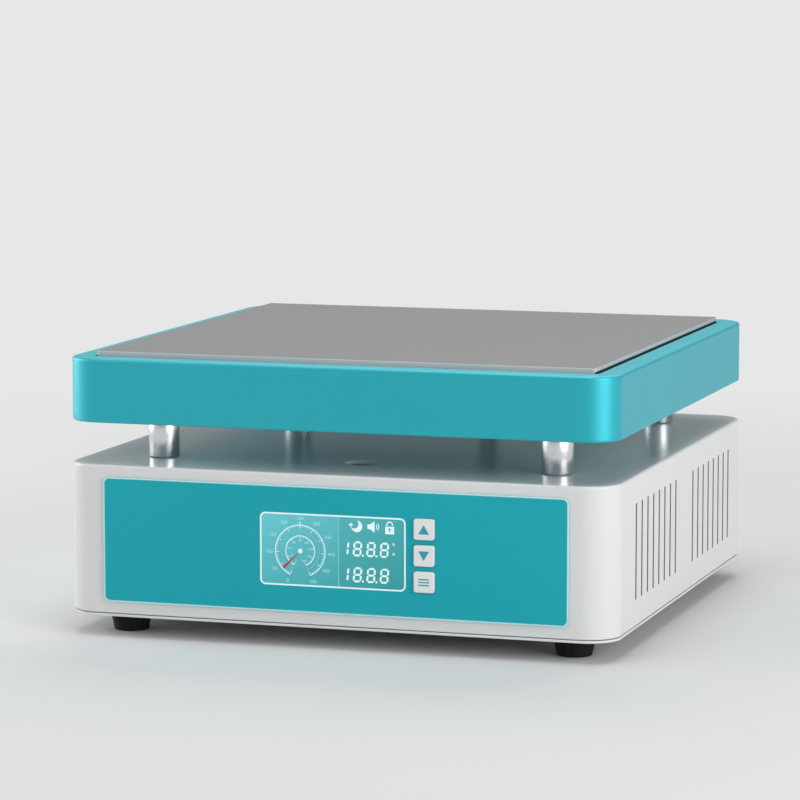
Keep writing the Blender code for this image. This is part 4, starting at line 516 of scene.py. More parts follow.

# Front panel: display window.
# A clear window bonded to the display, flush with the overlay, with a white line round it. The lit
# display behind it is a lighter teal than the film, painted brighter towards the upper left: a
# painted sheen and glow. Hard-coated acrylic over the display: glossy, its colour, painted sheen
# included, from the layer behind.
window_face, tree, place = material("display behind clear acrylic")
painted_sheen_slant = add_node(tree, "VectorMath", {0: place, 1: (-0.45, 0, 0.9)}, operation="DOT_PRODUCT")
axes = add_node(tree, "SeparateXYZ", {"Vector": place})
DIVIDER_X = 2.9
right_half = add_node(tree, "Math", {0: axes.outputs[0], 1: DIVIDER_X * MM}, operation="GREATER_THAN")
shades = []
# Painted sheen and glow: each half of the display grows lighter towards the upper left.
for low_hex, high_hex, low, high in ((0x49B2B7, 0x70D5E0, 20.7, 59.8), (0x39A2A9, 0x55BFC4, 9.0, 45.5)):
    rise = add_node(tree, "MapRange", {
        "Value": painted_sheen_slant.outputs["Value"], "From Min": low * MM, "From Max": high * MM})
    shade = add_node(tree, "Mix", {0: rise, 6: colour(low_hex), 7: colour(high_hex)}, data_type="RGBA")
    shades.append(shade.outputs[2])
halves = add_node(tree, "Mix", {0: right_half, 6: shades[0], 7: shades[1]}, data_type="RGBA")
surface_out(tree, add_node(tree, "BsdfPrincipled", {
    "Base Color": halves.outputs[2], "Roughness": 0.12, "Specular IOR Level": 0.25}))

profile = [(0, 109.5 * MM), (0, OVERLAY_FACE - 0.2 * MM), (0.2 * MM, OVERLAY_FACE)]
rows = shrunk(WINDOW_HALF_X, WINDOW_HALF_Z, 1.8 * MM, profile)
window = stacked("display_window", rows, (0, 0, WINDOW_Z), facing="front", caps=True)
dress(window, window_face, replaces=["display_lens"])
white_ink = ink_finish("white lit segments", 0xE4F8F9, glow=0.15)
# The white line round the window is print, yet it takes the lit segments' glow: a painted glow.
line = edge_line("window_frame_line", 29.15 * MM, 14 * MM, 2.2 * MM, (0.4 * MM, WINDOW_Z + 0.1 * MM),
                 0.6 * MM, OVERLAY_FACE - 0.02 * MM)
dress(line, white_ink)


# What the display shows: a round gauge with a red needle, three icons and two rows of figures.
def printed(name, shapes, finish, face=OVERLAY_FACE, body="base"):
    """Flat shapes on a front face as thin closed solids, 0.04 mm proud.

    Each shape is its outline in millimetres, (x, z), counter-clockwise as seen from the front.
    """
    points, faces, start = [], [], 0
    for shape in shapes:
        outline = np.array(shape, float) * MM
        count = len(outline)
        for level in (-(face + 0.04 * MM), -(face - 0.02 * MM)):
            points.append(np.column_stack([outline[:, 0], np.full(count, level), outline[:, 1]]))
        front = np.arange(count) + start
        after = np.roll(front, -1)
        faces += [front.tolist(), (front[::-1] + count).tolist()]
        faces += np.stack([front, front + count, after + count, after], -1).tolist()
        start += 2 * count
    mesh = bpy.data.meshes.new(name)
    mesh.from_pydata(np.vstack(points).tolist(), [], faces)
    return dress(linked(name, mesh), finish, body)


def arc(x, z, radius, start, end, steps=48):
    """Points of an arc, angles in degrees from +x towards +z."""
    angle = np.radians(np.linspace(start, end, steps + 1))
    return np.column_stack([x + radius * np.cos(angle), z + radius * np.sin(angle)])


def band(x, z, radius, width, start, end, steps=48):
    """An arc drawn with a pen of that width."""
    outer = arc(x, z, radius + width / 2, start, end, steps)
    return np.vstack([outer, arc(x, z, radius - width / 2, start, end, steps)[::-1]])


def stroke(x_start, z_start, x_end, z_end, width, width_end=None):
    """A straight line drawn with a pen of that width, which may change along it."""
    start, end = np.array([x_start, z_start]), np.array([x_end, z_end])
    along = (end - start) / np.linalg.norm(end - start)
    across = np.array([along[1], -along[0]])
    near, far = across * width / 2, across * (width if width_end is None else width_end) / 2
    return [start + near, end + far, end - far, start - near]


def at_angle(x, z, radius, angle):
    """The point of a circle at an angle in degrees."""
    return x + radius * math.cos(math.radians(angle)), z + radius * math.sin(math.radians(angle))


DIAL_X, DIAL_Z = -12.55, 37.8
OUTER_SCALE, FAINT_SCALE, INNER_SCALE, OUTER_NUMBERS, INNER_NUMBERS = 10.0, 7.7, 5.9, 12.6, 4.1
SCALE_START, SCALE_END = 246, -66


def scale(radius, pen, tick, count, tick_pen):
    """An open ring with ticks pointing inwards, every fifth one twice as long."""
    made = [band(DIAL_X, DIAL_Z, radius, pen, SCALE_END, SCALE_START, 72)]
    for number in range(count + 1):
        angle = SCALE_START + (SCALE_END - SCALE_START) * number / count
        long = tick * (2.0 if number % 5 == 0 else 1.0)
        inner = at_angle(DIAL_X, DIAL_Z, radius - long, angle)
        made.append(stroke(*at_angle(DIAL_X, DIAL_Z, radius, angle), *inner, tick_pen))
    return made


hub = arc(DIAL_X, DIAL_Z, 0.9, 0, 360, 32)[:-1]
top_mark = stroke(DIAL_X, DIAL_Z + 9.0, DIAL_X, DIAL_Z + 11.4, 0.32)
shapes = scale(OUTER_SCALE, 0.3, 0.75, 50, 0.22) + scale(INNER_SCALE, 0.26, 0.55, 40, 0.18)
shapes += [hub, top_mark]
printed("gauge_scales", shapes, white_ink)
faint_ink = ink_finish("faint line", 0x8AD3DA)
printed("gauge_faint_scale", scale(FAINT_SCALE, 0.16, 0.4, 60, 0.16), faint_ink)
NEEDLE = 225
tail = at_angle(DIAL_X, DIAL_Z, 1.5, NEEDLE)
tip = at_angle(DIAL_X, DIAL_Z, 9.4, NEEDLE)
needle_red = ink_finish("red needle segment", 0xB04642)
printed("gauge_needle", [stroke(*tail, *tip, 0.25, 1.2)], needle_red, OVERLAY_FACE + 0.02 * MM)


def figures(name, text, size, places, finish):
    """Plain figures set upright, each centred on its place, as one thin mesh on the front face."""
    made = []
    for number, (x, z) in zip(text, places):
        curve = bpy.data.curves.new(name, "FONT")
        curve.body = number
        curve.size = size * MM
        curve.align_x = "CENTER"
        curve.align_y = "CENTER"
        curve.extrude = 0.03 * MM
        letters = linked(name, curve)
        graph = bpy.context.evaluated_depsgraph_get()
        mesh = bpy.data.meshes.new_from_object(letters.evaluated_get(graph))
        bpy.data.objects.remove(letters)
        place = np.zeros(len(mesh.vertices) * 3, np.float32)
        mesh.vertices.foreach_get("co", place)
        place = place.reshape(-1, 3)[:, [0, 2, 1]] * (1, -1, 1) + (x * MM, -OVERLAY_FACE, z * MM)
        mesh.vertices.foreach_set("co", place.astype(np.float32).ravel())
        made.append(linked(name, mesh))
    return dress(joined(name, made), finish)


step = (SCALE_END - SCALE_START) / 10
places = [at_angle(DIAL_X, DIAL_Z, OUTER_NUMBERS, SCALE_START + step * number) for number in range(11)]
figures("gauge_numbers_outer", [str(50 * number) for number in range(11)], 1.9, places, pale_ink)
step *= 1.25
places = [at_angle(DIAL_X, DIAL_Z, INNER_NUMBERS, SCALE_START + step * number) for number in range(9)]
figures("gauge_numbers_inner", [str(100 * number) for number in range(9)], 1.15, places, pale_ink)

# The line between the two halves, and the icons: moon and star, loudspeaker, open padlock.
printed("display_divider", [stroke(DIVIDER_X, 25.0, DIVIDER_X, 51.4, 0.35)], faint_ink)
moon = np.vstack([arc(10.1, 48.4, 2.2, 80, -170, 32), arc(9.1, 49.3, 1.75, -145, 55, 24)])
star = [at_angle(7.8, 48.9, radius, angle) for angle, radius in zip(range(0, 360, 45), (1.1, 0.4) * 4)]
speaker = [(14.4, 47.6), (15.4, 47.6), (17.2, 46.3), (17.2, 50.7), (15.4, 49.4), (14.4, 49.4)]
waves = [band(16.8, 48.5, radius, 0.3, -38, 38, 12) for radius in (1.3, 2.1)]
lock = [(21.45, 46.0), (24.95, 46.0), (24.95, 48.9), (21.45, 48.9)]
shackle = band(23.2, 49.5, 1.15, 0.45, -10, 180, 20)
hasp = stroke(22.05, 49.6, 22.05, 49.1, 0.45)
icons = [moon[::-1], star, speaker, *waves, lock, shackle, hasp]
printed("display_icons", icons, white_ink)
keyhole = [arc(23.2, 47.8, 0.45, 0, 360, 16)[:-1], stroke(23.2, 47.7, 23.2, 46.7, 0.32)]
printed("display_keyhole", keyhole, ink_finish("teal keyhole", 0x4FB4BA), OVERLAY_FACE + 0.02 * MM)


SEGMENTS = {
    "top": (0, 1, 1, 1), "middle": (0, 0.5, 1, 0.5), "bottom": (0, 0, 1, 0),
    "upper left": (0, 0.5, 0, 1), "upper right": (1, 0.5, 1, 1),
    "lower left": (0, 0, 0, 0.5), "lower right": (1, 0, 1, 0.5)}


def seven_segment(x, z, parts, width=3.5, height=5.8, pen=0.78, lean=0.09):
    """The lit parts of one figure, each a bar with pointed ends, leaning to the right."""
    half, gap = pen / 2, pen * 0.18
    made = []
    for part in parts:
        x0, z0, x1, z1 = SEGMENTS[part]
        start = np.array([half + x0 * (width - pen), half + z0 * (height - pen)])
        end = np.array([half + x1 * (width - pen), half + z1 * (height - pen)])
        along = (end - start) / np.linalg.norm(end - start)
        across = np.array([along[1], -along[0]]) * half
        near, far = start + along * (half + gap), end - along * (half + gap)
        outline = np.array([
            start + along * gap, near + across, far + across, end - along * gap, far - across, near - across])
        outline[:, 0] += outline[:, 1] * lean
        made.append(outline + (x, z))
    return made


shapes = []
for z in (36.9, 26.95):
    shapes += seven_segment(3.2, z, ("upper right", "lower right"))
    for x in (8.4, 13.8, 19.1):
        shapes += seven_segment(x, z, SEGMENTS)
    shapes += [arc(x, z + 0.4, 0.42, 0, 360, 16)[:-1] for x in (12.6, 17.95)]
shapes += [band(24.8, z, 0.38, 0.2, 0, 350, 20) for z in (42.2, 38.4)]
printed("display_figures", shapes, white_ink)

# Keys.
# Three push buttons, moulded in off-white ABS with a fine grain, soft edges and a flat top. Each has a
# lip behind the panel and a stem that presses a key switch.
key_plastic = grained("moulded off-white ABS", 0xE9E9E8, 0.36, grain=0.25, relief=0.2, depth=0.01)
key_ink = ink_finish("teal key print", 0x27A0AB)
KEY_FACE, KEY_EDGE = 113.1 * MM, 0.3 * MM
STEM_PROFILE = np.array([(1.5, -108.5), (1.5, -105.2), (1.3, -105.0)]) * MM
key_bodies = {"button_up": "key_up", "button_down": "key_down", "button_set": "key_set"}
for key, z in KEY_Z.items():
    profile = [(0, 108.7 * MM)] + fillet((KEY_EDGE, KEY_FACE - KEY_EDGE), KEY_EDGE, 180, 90, 5)
    rows = shrunk(KEY_HALF, KEY_HALF, 0.95 * MM, profile) + [(3.1 * MM, 3.1 * MM, 0.4 * MM, KEY_FACE)]
    cap = stacked("cap", rows, (KEY_X, 0, z), steps=8, facing="front", caps=True)
    lip = bar("lip", 5 * MM, KEY_HALF, 0.3 * MM, (KEY_X, 0, z), 108.2 * MM, 109.2 * MM, "front")
    stem = lathe("stem", STEM_PROFILE, (KEY_X, 0, z), 32, axis="Y", caps=True)
    dress(joined(key.replace("button", "key_cap"), [cap, lip, stem]), key_plastic, key_bodies[key],
          [key])

KEY_MM, WIDE, TALL = KEY_X / MM, 2.15, 1.8
up, down, third = (KEY_Z[key] / MM for key in KEY_Z)
arrow_up = [(KEY_MM - WIDE, up - TALL), (KEY_MM + WIDE, up - TALL), (KEY_MM, up + TALL)]
arrow_down = [(KEY_MM - WIDE, down + TALL), (KEY_MM, down - TALL), (KEY_MM + WIDE, down + TALL)]
bars = [stroke(KEY_MM - 2.1, third + rise, KEY_MM + 2.1, rise + third, 0.5) for rise in (-1.1, 0, 1.1)]
printed("key_print_up", [arrow_up], key_ink, KEY_FACE, "key_up")
printed("key_print_down", [arrow_down], key_ink, KEY_FACE, "key_down")
printed("key_print_third", bars, key_ink, KEY_FACE, "key_set")

# Posts.
# Four short lengths of polished steel tube, faced square at both ends, each clamped by its bolt. Faint
# marks run round them, 0.15 mm apart.
polished_tube, tree, place = material("polished steel tube")
turning = add_node(tree, "Mapping", {"Vector": place, "Scale": (1, 1, 40)})
marks = add_node(tree, "TexNoise", {"Vector": turning, "Scale": 1 / (6 * MM), "Detail": 2.0})
gloss = add_node(tree, "MapRange", {"Value": marks, "To Min": 0.2, "To Max": 0.28})
round_it = add_node(tree, "Tangent", direction_type="RADIAL", axis="Z")
surface_out(tree, add_node(tree, "BsdfPrincipled", {
    "Base Color": colour(0xD9D9DB), "Metallic": 1.0, "Roughness": gloss,
    "Anisotropic": 0.85, "Tangent": round_it}))
low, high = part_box("post_front_left")
POST_RADIUS, edge = 6 * MM, 0.15 * MM
flat = POST_RADIUS - edge
profile = [(POST_BORE, low.z), (flat, low.z)] + fillet((flat, low.z + edge), edge, -90, 0, 3)[1:]
profile += fillet((flat, high.z - edge), edge, 0, 90, 3) + [(POST_BORE, high.z)]
for corner, (x, y) in CORNERS.items():
    post = lathe(f"tube_post_{corner}", profile, (x * POST_OUT, y * POST_OUT, 0), closed=True)
    dress(post, polished_tube, replaces=[f"post_{corner}"])

# Heater: shroud.
# A drawn steel frame round the hot plate, sprayed teal: 2 mm wall, corners of 13 mm, small radii along
# its edges and a square opening for the plate.

# Stoved metallic enamel: teal with fine aluminium flake, so that its highlights are teal too, under a
# slightly finer orange peel than the powder coat's. Surfaces that face up are tinted a little paler, a
# painted highlight for the light from above on the rim's top.
teal_enamel, tree, place = material("teal stoved enamel")
skin = orange_peel(tree, place, 1.2, 0.12, 40, 0.42, 0.46)
facing = add_node(tree, "SeparateXYZ", {"Vector": add_node(tree, "TexCoord").outputs["Normal"]})
# Painted highlight: faces that turn up get the paler teal.
upper = add_node(tree, "MapRange", {"Value": facing.outputs[2], "From Min": 0.2, "From Max": 0.9})
tone = add_node(tree, "Mix", {0: upper, 6: colour(0x26B2C1), 7: colour(0x3ABFCC)}, data_type="RGBA")
surface_out(tree, add_node(tree, "BsdfPrincipled", {
    "Base Color": tone.outputs[2], "Metallic": 0.45, "Coat Weight": 0.15, "Coat Roughness": 0.35, **skin}))

low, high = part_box("shroud")
SHROUD_X, SHROUD_Y, SHROUD_WALL, OPENING = high.x, high.y, 2 * MM, 101 * MM
RIM_EDGE, LOWER_EDGE = 1.2 * MM, 0.8 * MM
profile = [(2 * MM, low.z + 0.2 * MM), (1.8 * MM, low.z), (1.2 * MM, low.z)]
profile += fillet((LOWER_EDGE, low.z + LOWER_EDGE), LOWER_EDGE, 270, 180, 6)
profile += [(0, low.z + LOWER_EDGE + 0.4 * MM), (0, high.z - RIM_EDGE - 0.4 * MM)]
profile += fillet((RIM_EDGE, high.z - RIM_EDGE), RIM_EDGE, 180, 90, 8) + [(1.7 * MM, high.z)]
rows = shrunk(SHROUD_X, SHROUD_Y, BOX_CORNER, profile)
lip = [(0.8, 0), (0.4, 0), (0.1, 0.1), (0, 0.4), (0, 1.7), (0.3, 2.0), (0.8, 2.0)]
rows += [(OPENING + out * MM, OPENING + out * MM, (2 + out) * MM, high.z - down * MM) for out, down in lip]
profile = [(4 * MM, high.z - SHROUD_WALL)] + fillet((2.5 * MM, high.z - 2.5 * MM), 0.5 * MM, 90, 180, 4)
rows += shrunk(SHROUD_X, SHROUD_Y, BOX_CORNER, profile)
rim = stacked("painted_shroud", rows, steps=28, closed=True)
BOSS_PROFILE = np.array([(1.8, 86.4), (3.0, 86.4), (3.2, 86.6), (3.2, 107.4), (1.8, 107.4)]) * MM
BOSS_X, BOSS_Y = 102.5 * MM, 103.5 * MM
parts = [rim]
for x, y in CORNERS.values():
    parts.append(lathe("boss", BOSS_PROFILE, (x * BOSS_X, y * BOSS_Y, 0), sides=32, closed=True))
dress(joined("painted_shroud", parts), teal_enamel, replaces=["shroud"])

# Heater: floor, clamp plate, element, insulation and sensor.
# The floor is sheet steel, enamelled like the shroud. The clamp plate is galvanised, dull grey with
# spangles about 4 mm across. All but the floor lies hidden under the hot plate.
repaint(teal_enamel, "shroud_floor")
galvanised, tree, place = material("galvanised sheet")
spangle = add_node(tree, "TexVoronoi", {"Vector": place, "Scale": 1 / (4 * MM)})
shade = add_node(tree, "Mix", {
    0: spangle.outputs["Color"], 6: colour(0x6F7679), 7: colour(0x82898B)}, data_type="RGBA")
surface_out(tree, add_node(tree, "BsdfPrincipled", {
    "Base Color": shade.outputs[2], "Metallic": 0.85, "Roughness": 0.5}))
repaint(galvanised, "clamp_plate")

# Stainless sheath of the element and the sensor, blued by heat in soft patches about 15 mm long.
heated_steel = mottled("heat-tinted stainless steel", [0x8A8378, 0x6E7480], [0.38], 15)
repaint(heated_steel, "heater_element", "sensor_probe")

# Pressed ceramic fibre: chalky white, matt, with short matted fibres about 0.6 mm across.
ceramic_fibre = grained("pressed ceramic fibre", 0xE9E6DC, 0.95, 0.6, relief=0.8, depth=0.2, detail=4.0)
repaint(ceramic_fibre, "insulation_pad")

# Heater: hot plate.
# A thick plate of aluminium, milled square and fine-ground on top, slightly matt. The grinding runs
# along X in strokes about 0.3 mm apart, drawn at 0.6 mm so that they just show. The sides are as
# milled and duller than the top. Their paler colour is partly a painted highlight of the light from the
# front.
# The photo shows a dark line along the foot of the right side, where the gap to the shroud lies in
# shadow. It is drawn as a painted shadow on the foot of both the left and right sides.
ground_aluminium, tree, place = material("fine-ground aluminium")
drawn_out = add_node(tree, "Mapping", {"Vector": place, "Scale": (0.02, 1, 1)})
strokes = add_node(tree, "TexNoise", {"Vector": drawn_out, "Scale": 1 / (0.6 * MM), "Detail": 3.0})
bump = add_node(tree, "Bump", {"Height": strokes, "Strength": 0.1, "Distance": 0.01 * MM})
shade = add_node(tree, "Mix", {0: strokes, 6: colour(0x919192), 7: colour(0x9A9A9B)}, data_type="RGBA")
facing_up = add_node(tree, "SeparateXYZ", {"Vector": add_node(tree, "TexCoord").outputs["Normal"]})
top = add_node(tree, "MapRange", {"Value": facing_up.outputs[2], "From Min": 0.5, "From Max": 0.9})
# Partly painted highlight: the sides, which catch the front light, get the paler grey.
tone = add_node(tree, "Mix", {0: top, 6: colour(0xCDCDCF), 7: shade.outputs[2]}, data_type="RGBA")

# The dark line ends at z 108.95 mm. It starts at 98.95 mm, above the heat sink, which shares this finish.
GAP_MIDDLE, GAP_HALF = 103.95 * MM, 5 * MM
sideways = add_node(tree, "Math", {0: facing_up.outputs[0]}, operation="ABSOLUTE")
beside = add_node(tree, "Math", {0: sideways, 1: 0.7}, operation="GREATER_THAN")
height = add_node(tree, "SeparateXYZ", {"Vector": place})
level = add_node(tree, "Math", {0: height.outputs[2], 1: GAP_MIDDLE, 2: GAP_HALF}, operation="COMPARE")
in_gap = add_node(tree, "Math", {0: beside, 1: level}, operation="MULTIPLY")
tone = add_node(tree, "Mix", {0: in_gap, 6: tone.outputs[2], 7: colour(0x25343A)}, data_type="RGBA")
metal = add_node(tree, "MapRange", {"Value": top, "To Min": 0.4, "To Max": 1.0})
surface_out(tree, add_node(tree, "BsdfPrincipled", {
    "Base Color": tone.outputs[2], "Metallic": metal, "Roughness": 0.62, "Normal": bump}))
repaint(ground_aluminium, "heating_plate", "heat_sink")

# Lead bush and leads.
# A black nylon snap bush in the top of the box, and the heater's and sensor's leads through it in
# white silicone. The mains leads inside are PVC.
nylon = grained("moulded black nylon", 0x1C1C1D, 0.42, grain=0.4, relief=0.25, depth=0.015)
BUSH_PROFILE = np.array([
    (4.4, 64.9), (4.4, 64.3), (7.6, 64.3), (8.0, 64.6), (8.0, 65.5), (6.0, 65.5), (6.0, 67.6),
    (8.0, 67.6), (8.0, 68.3), (7.6, 68.8), (4.9, 68.8), (4.4, 68.3)]) * MM
bush = lathe("snap_bush", BUSH_PROFILE, (0, BUSH_Y, 0), closed=True)
dress(bush, nylon, replaces=["lead_bush"])

# Extruded wire insulation: smooth, slightly uneven over about 1.5 mm.
for sleeving, hex_value, roughness, leads in (
        ("white silicone", 0xDAD8D2, 0.6, ["heater_lead_left", "heater_lead_right", "sensor_lead"]),
        ("brown PVC", 0x5A3A26, 0.45, ["live_lead", "switched_live_lead"]),
        ("blue PVC", 0x2A5CA8, 0.45, ["neutral_lead"]),
        ("green PVC", 0x4C8F3A, 0.45, ["earth_lead"]),
        ("black PVC", 0x1A1A1B, 0.45, ["display_cable"])):
    finish = grained(f"{sleeving} sleeving", hex_value, roughness, 1.5, relief=0.15, depth=0.02, detail=1.0)
    repaint(finish, *leads)

# Mains inlet.
# A snap-in black inlet with a flange, three nickel-plated pins in a chamfered socket, and a fuse
# drawer under it, held by two countersunk screws.
FLANGE_FACE, FLANGE_BACK, BODY_END = 113.8 * MM, 111.3 * MM, 89 * MM
SOCKET_Z = 44.7 * MM
DRAWER_Z, DRAWER_HALF_X, DRAWER_HALF_Z = 29.3 * MM, 8 * MM, 3.9 * MM
inlet_at, drawer_at = (INLET_X, 0, INLET_Z), (INLET_X, 0, DRAWER_Z)
edge = 0.5 * MM
profile = [(0.1 * MM, FLANGE_BACK), (0, FLANGE_BACK + 0.1 * MM)]
profile += fillet((edge, FLANGE_FACE - edge), edge, 180, 90, 4)
rows = shrunk(25 * MM, 17 * MM, 3 * MM, profile)
housing = stacked("inlet_moulding", rows, inlet_at, facing="back", caps=True)
body = bar("body", 14 * MM, 15.75 * MM, 0.8 * MM, inlet_at, BODY_END, FLANGE_BACK + 1 * MM, "back")
carve(housing, body, "UNION")
half, up, chamfer = 12.1 * MM, 8.2 * MM, 4.5 * MM
section = np.array([
    (half, -up), (half, up - chamfer), (half - chamfer, up),
    (chamfer - half, up), (-half, up - chamfer), (-half, -up)])
deep, out = 97.3 * MM, 118 * MM
loops = [np.column_stack([-section[:, 0], np.full(6, level), section[:, 1]]) for level in (deep, out)]
carve(housing, grid_mesh("socket", np.stack(loops) + (INLET_X, 0, SOCKET_Z), caps=True))
carve(housing, bar("hole", DRAWER_HALF_X + FIT, DRAWER_HALF_Z + FIT, 0.3 * MM, drawer_at,
                   80 * MM, 120 * MM, "back"))
PINS = {
    pin: (INLET_X + x * MM, 0, SOCKET_Z + z * MM)
    for pin, x, z in (("live", -7, -2), ("neutral", 7, -2), ("earth", 0, 2))}
holes = [bar("hole", 1.3 * MM, 2.3 * MM, 0.2 * MM, at, 80 * MM, 100 * MM, "back") for at in PINS.values()]
carve(housing, joined("holes", holes))
SINK = np.array([(1.8, 100.0), (1.8, 112.4), (3.1, 113.81), (3.1, 120.0)]) * MM
sinks = [lathe("sink", SINK, (x, 0, INLET_Z), 32, axis="Y", caps=True) for x in INLET_SCREWS]
carve(housing, joined("sinks", sinks))
dress(housing, nylon, replaces=["inlet_housing"])

# Nickel plating over brass: warm silver, a little uneven in its gloss.
nickel = mottled("nickel plating", [0xC9C4B6], [0.15, 0.3], 1.2)
for pin, at in PINS.items():
    tip, tail, edge = 111.6 * MM, 82 * MM, 0.7 * MM
    rows = [(1 * MM, 2 * MM, 0.2 * MM, tail), (1 * MM, 2 * MM, 0.2 * MM, tip - 2 * edge)]
    rows += [(0.85 * MM, 1.8 * MM, 0.2 * MM, tip - edge), (0.5 * MM, 1.3 * MM, 0.2 * MM, tip)]
    blade = stacked(f"contact_{pin}", rows, at, 4, "back", caps=True)
    dress(blade, nickel, replaces=[f"inlet_pin_{pin}"])

# Fuse drawer: a black moulding with a finger grip on its face; the fuse lies in its well.
edge = 0.3 * MM
face_low, face_high = 114.1 * MM, 115.5 * MM
profile = [(0, face_low)] + fillet((edge, face_high - edge), edge, 180, 90, 3)
rows = shrunk(8.8 * MM, 4.7 * MM, 0.9 * MM, profile)
drawer = stacked("fuse_drawer_moulding", rows, drawer_at, facing="back", caps=True)
tray = bar("tray", DRAWER_HALF_X, DRAWER_HALF_Z, 0.3 * MM, drawer_at, 92.3 * MM, 114.5 * MM, "back")
carve(drawer, tray, "UNION")
carve(drawer, bar("well", 2.9 * MM, 9.75 * MM, 0.4 * MM, (INLET_X, 103.05 * MM, DRAWER_Z), -2.9 * MM, 5 * MM))
grip_at = (INLET_X, 0, DRAWER_Z + 3.9 * MM)
carve(drawer, bar("grip", 2.2 * MM, 0.9 * MM, 0.4 * MM, grip_at, 114.9 * MM, 117 * MM, "back"))
dress(drawer, nylon, "drawer", ["fuse_drawer"])

# Rocker switch.
# A snap-in switch body with a raised bezel, and a dished black rocker marked with a bar and a ring.
switch_at = (SWITCH_X, 0, INLET_Z)
edge = 0.5 * MM
profile = [(0, 111.3 * MM)] + fillet((edge, 113.1 * MM - edge), edge, 180, 90, 4)
rows = shrunk(7.5 * MM, 10.5 * MM, 1.2 * MM, profile)
body = stacked("switch_moulding", rows, switch_at, facing="back", caps=True)
carve(body, bar("barrel", 6.4 * MM, 9.5 * MM, 0.5 * MM, switch_at, 91 * MM, 112 * MM, "back"), "UNION")
carve(body, bar("well", 5.5 * MM, 8.6 * MM, 0.4 * MM, switch_at, 101.1 * MM, 120 * MM, "back"))
dress(body, nylon, replaces=["switch_body"])

# Polished black rocker, smoother than the body round it.
rocker_black = mottled("polished black nylon", [0x141415], [0.18, 0.26], 3, metallic=0.0)
PIVOT = np.array((18.0, 109.1, 38.5)) * MM
ROCKER_HALF, ROCKER_FACE, ROCKER_SAG, ROCKER_HALF_X = 7.5 * MM, 5.4 * MM, 1.4 * MM, 5.2 * MM
TILT = -math.radians(10)


def on_rocker(x, share, proud=0.0):
    """Points on the rocker's dished face: share runs from -1 at its lower end to 1 at its upper end."""
    out = ROCKER_FACE - ROCKER_SAG * (1 - share**2) + proud
    return tilted(x, out, share * ROCKER_HALF)


def tilted(x, out, up):
    """Turns (x, out, up) about the pivot by the rocker's rest tilt and places it in the switch."""
    y = out * math.cos(TILT) - up * math.sin(TILT)
    z = out * math.sin(TILT) + up * math.cos(TILT)
    return np.stack([x + PIVOT[0], y + PIVOT[1], z + PIVOT[2]], -1)


share = np.linspace(-1, 1, 25)
heel = np.radians(np.linspace(110, 250, 17))
out = np.concatenate([ROCKER_FACE - ROCKER_SAG * (1 - share**2), ROCKER_FACE * 0.75 * np.cos(heel)])
up = np.concatenate([share * ROCKER_HALF, ROCKER_FACE * 0.75 * np.sin(heel)])
rounding = np.array([(1.0, 0.96), (0.985, 1.0), (-0.985, 1.0), (-1.0, 0.96)])
loops = [tilted(np.full(len(out), half * ROCKER_HALF_X), out * size, up * size) for half, size in rounding]
rocker = grid_mesh("rocker_paddle", np.stack(loops), caps=True)
dress(rocker, rocker_black, "switch_rocker", ["rocker"])
mark_white = ink_finish("white pad print", 0xE6E6E6)
x, share = np.meshgrid(np.array([0.35, -0.35]) * MM, np.linspace(0.42, 0.78, 8))
bar_mark = grid_mesh("rocker_mark_on", on_rocker(x, share, 0.02 * MM), around=False)
turn, radius = np.meshgrid(np.linspace(0, math.tau, 33), np.array([0.95, 1.5]) * MM)
x, share = radius * np.cos(turn), -0.6 + radius * np.sin(turn) / ROCKER_HALF
ring_mark = grid_mesh("rocker_mark_off", on_rocker(x, share, 0.02 * MM)[:, :-1])
for mark in (bar_mark, ring_mark):
    skin = mark.modifiers.new("thickness", "SOLIDIFY")
    skin.thickness = 0.06 * MM
    skin.offset = 0
    dress(mark, mark_white, "switch_rocker")

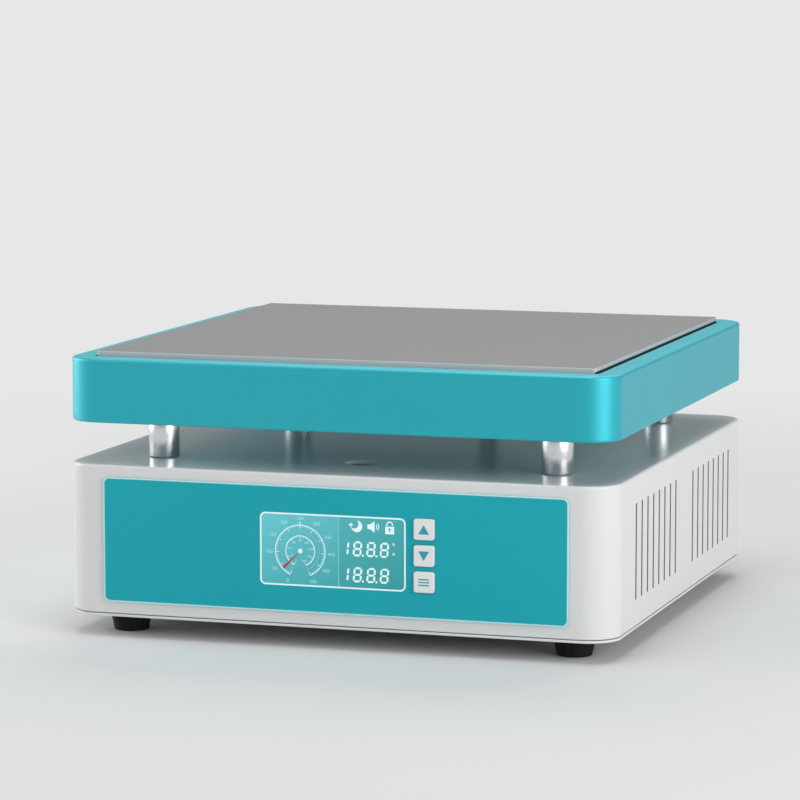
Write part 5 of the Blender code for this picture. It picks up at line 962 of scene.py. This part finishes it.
# Inside the box: display, boards and what stands on them.
# Green solder mask over glass-epoxy laminate, its weave just showing at 0.5 mm.
laminate, tree, place = material("green solder mask")
warp = add_node(tree, "TexWave", {"Vector": place, "Scale": 1 / (1.6 * MM)}, bands_direction="X")
weft = add_node(tree, "TexWave", {"Vector": place, "Scale": 1 / (1.6 * MM)}, bands_direction="Y")
weave = add_node(tree, "Math", {0: warp.outputs["Fac"], 1: weft.outputs["Fac"]}, operation="MULTIPLY")
bump = add_node(tree, "Bump", {"Height": weave, "Strength": 0.2, "Distance": 0.02 * MM})
surface_out(tree, add_node(tree, "BsdfPrincipled", {
    "Base Color": colour(0x1F5B38), "Roughness": 0.35, "Normal": bump}))
repaint(laminate, "display_board", "power_board")

# Green polyamide of the terminal block, and black epoxy of the triac: moulded, faintly grained.
repaint(grained("green polyamide", 0x2F7D46, 0.45, grain=0.3, relief=0.25, depth=0.02), "terminal_block")
repaint(grained("black moulded epoxy", 0x202022, 0.6, grain=0.3, relief=0.25, depth=0.02), "triac")

# Transformer: a core of thin laminations, varnished dark, round its coil. They are drawn 1 mm thick, so
# that they show.
laminations, tree, place = material("varnished iron laminations")
sheets = add_node(tree, "TexWave", {"Vector": place, "Scale": 1 / (3.2 * MM)}, bands_direction="Y")
bump = add_node(tree, "Bump", {"Height": sheets.outputs["Fac"], "Strength": 0.5, "Distance": 0.05 * MM})
surface_out(tree, add_node(tree, "BsdfPrincipled", {
    "Base Color": colour(0x4A4744), "Metallic": 0.4, "Roughness": 0.45, "Normal": bump}))
repaint(laminations, "transformer")

# Display module: drawn as glass all over. Fuse: a glass tube with nickel end caps, drawn in bands.
repaint(mottled("display glass", [0x48AEB8, 0x58BEC8], [0.1], 20, 1.0, metallic=0.0), "lcd_module")
fuse_finish, tree, place = material("glass tube with nickel caps")
axes = add_node(tree, "SeparateXYZ", {"Vector": place})
FUSE_MIDDLE, FUSE_GLASS_HALF = 103.05 * MM, 4 * MM
from_middle = add_node(tree, "Math", {0: axes.outputs[1], 1: FUSE_MIDDLE}, operation="SUBTRACT")
distance = add_node(tree, "Math", {0: from_middle}, operation="ABSOLUTE")
is_cap = add_node(tree, "Math", {0: distance, 1: FUSE_GLASS_HALF}, operation="GREATER_THAN")
shade = add_node(tree, "Mix", {0: is_cap, 6: colour(0xC9D2D2), 7: colour(0xC9C4B6)}, data_type="RGBA")
surface_out(tree, add_node(tree, "BsdfPrincipled", {
    "Base Color": shade.outputs[2], "Metallic": is_cap, "Roughness": 0.15}))
repaint(fuse_finish, "fuse")
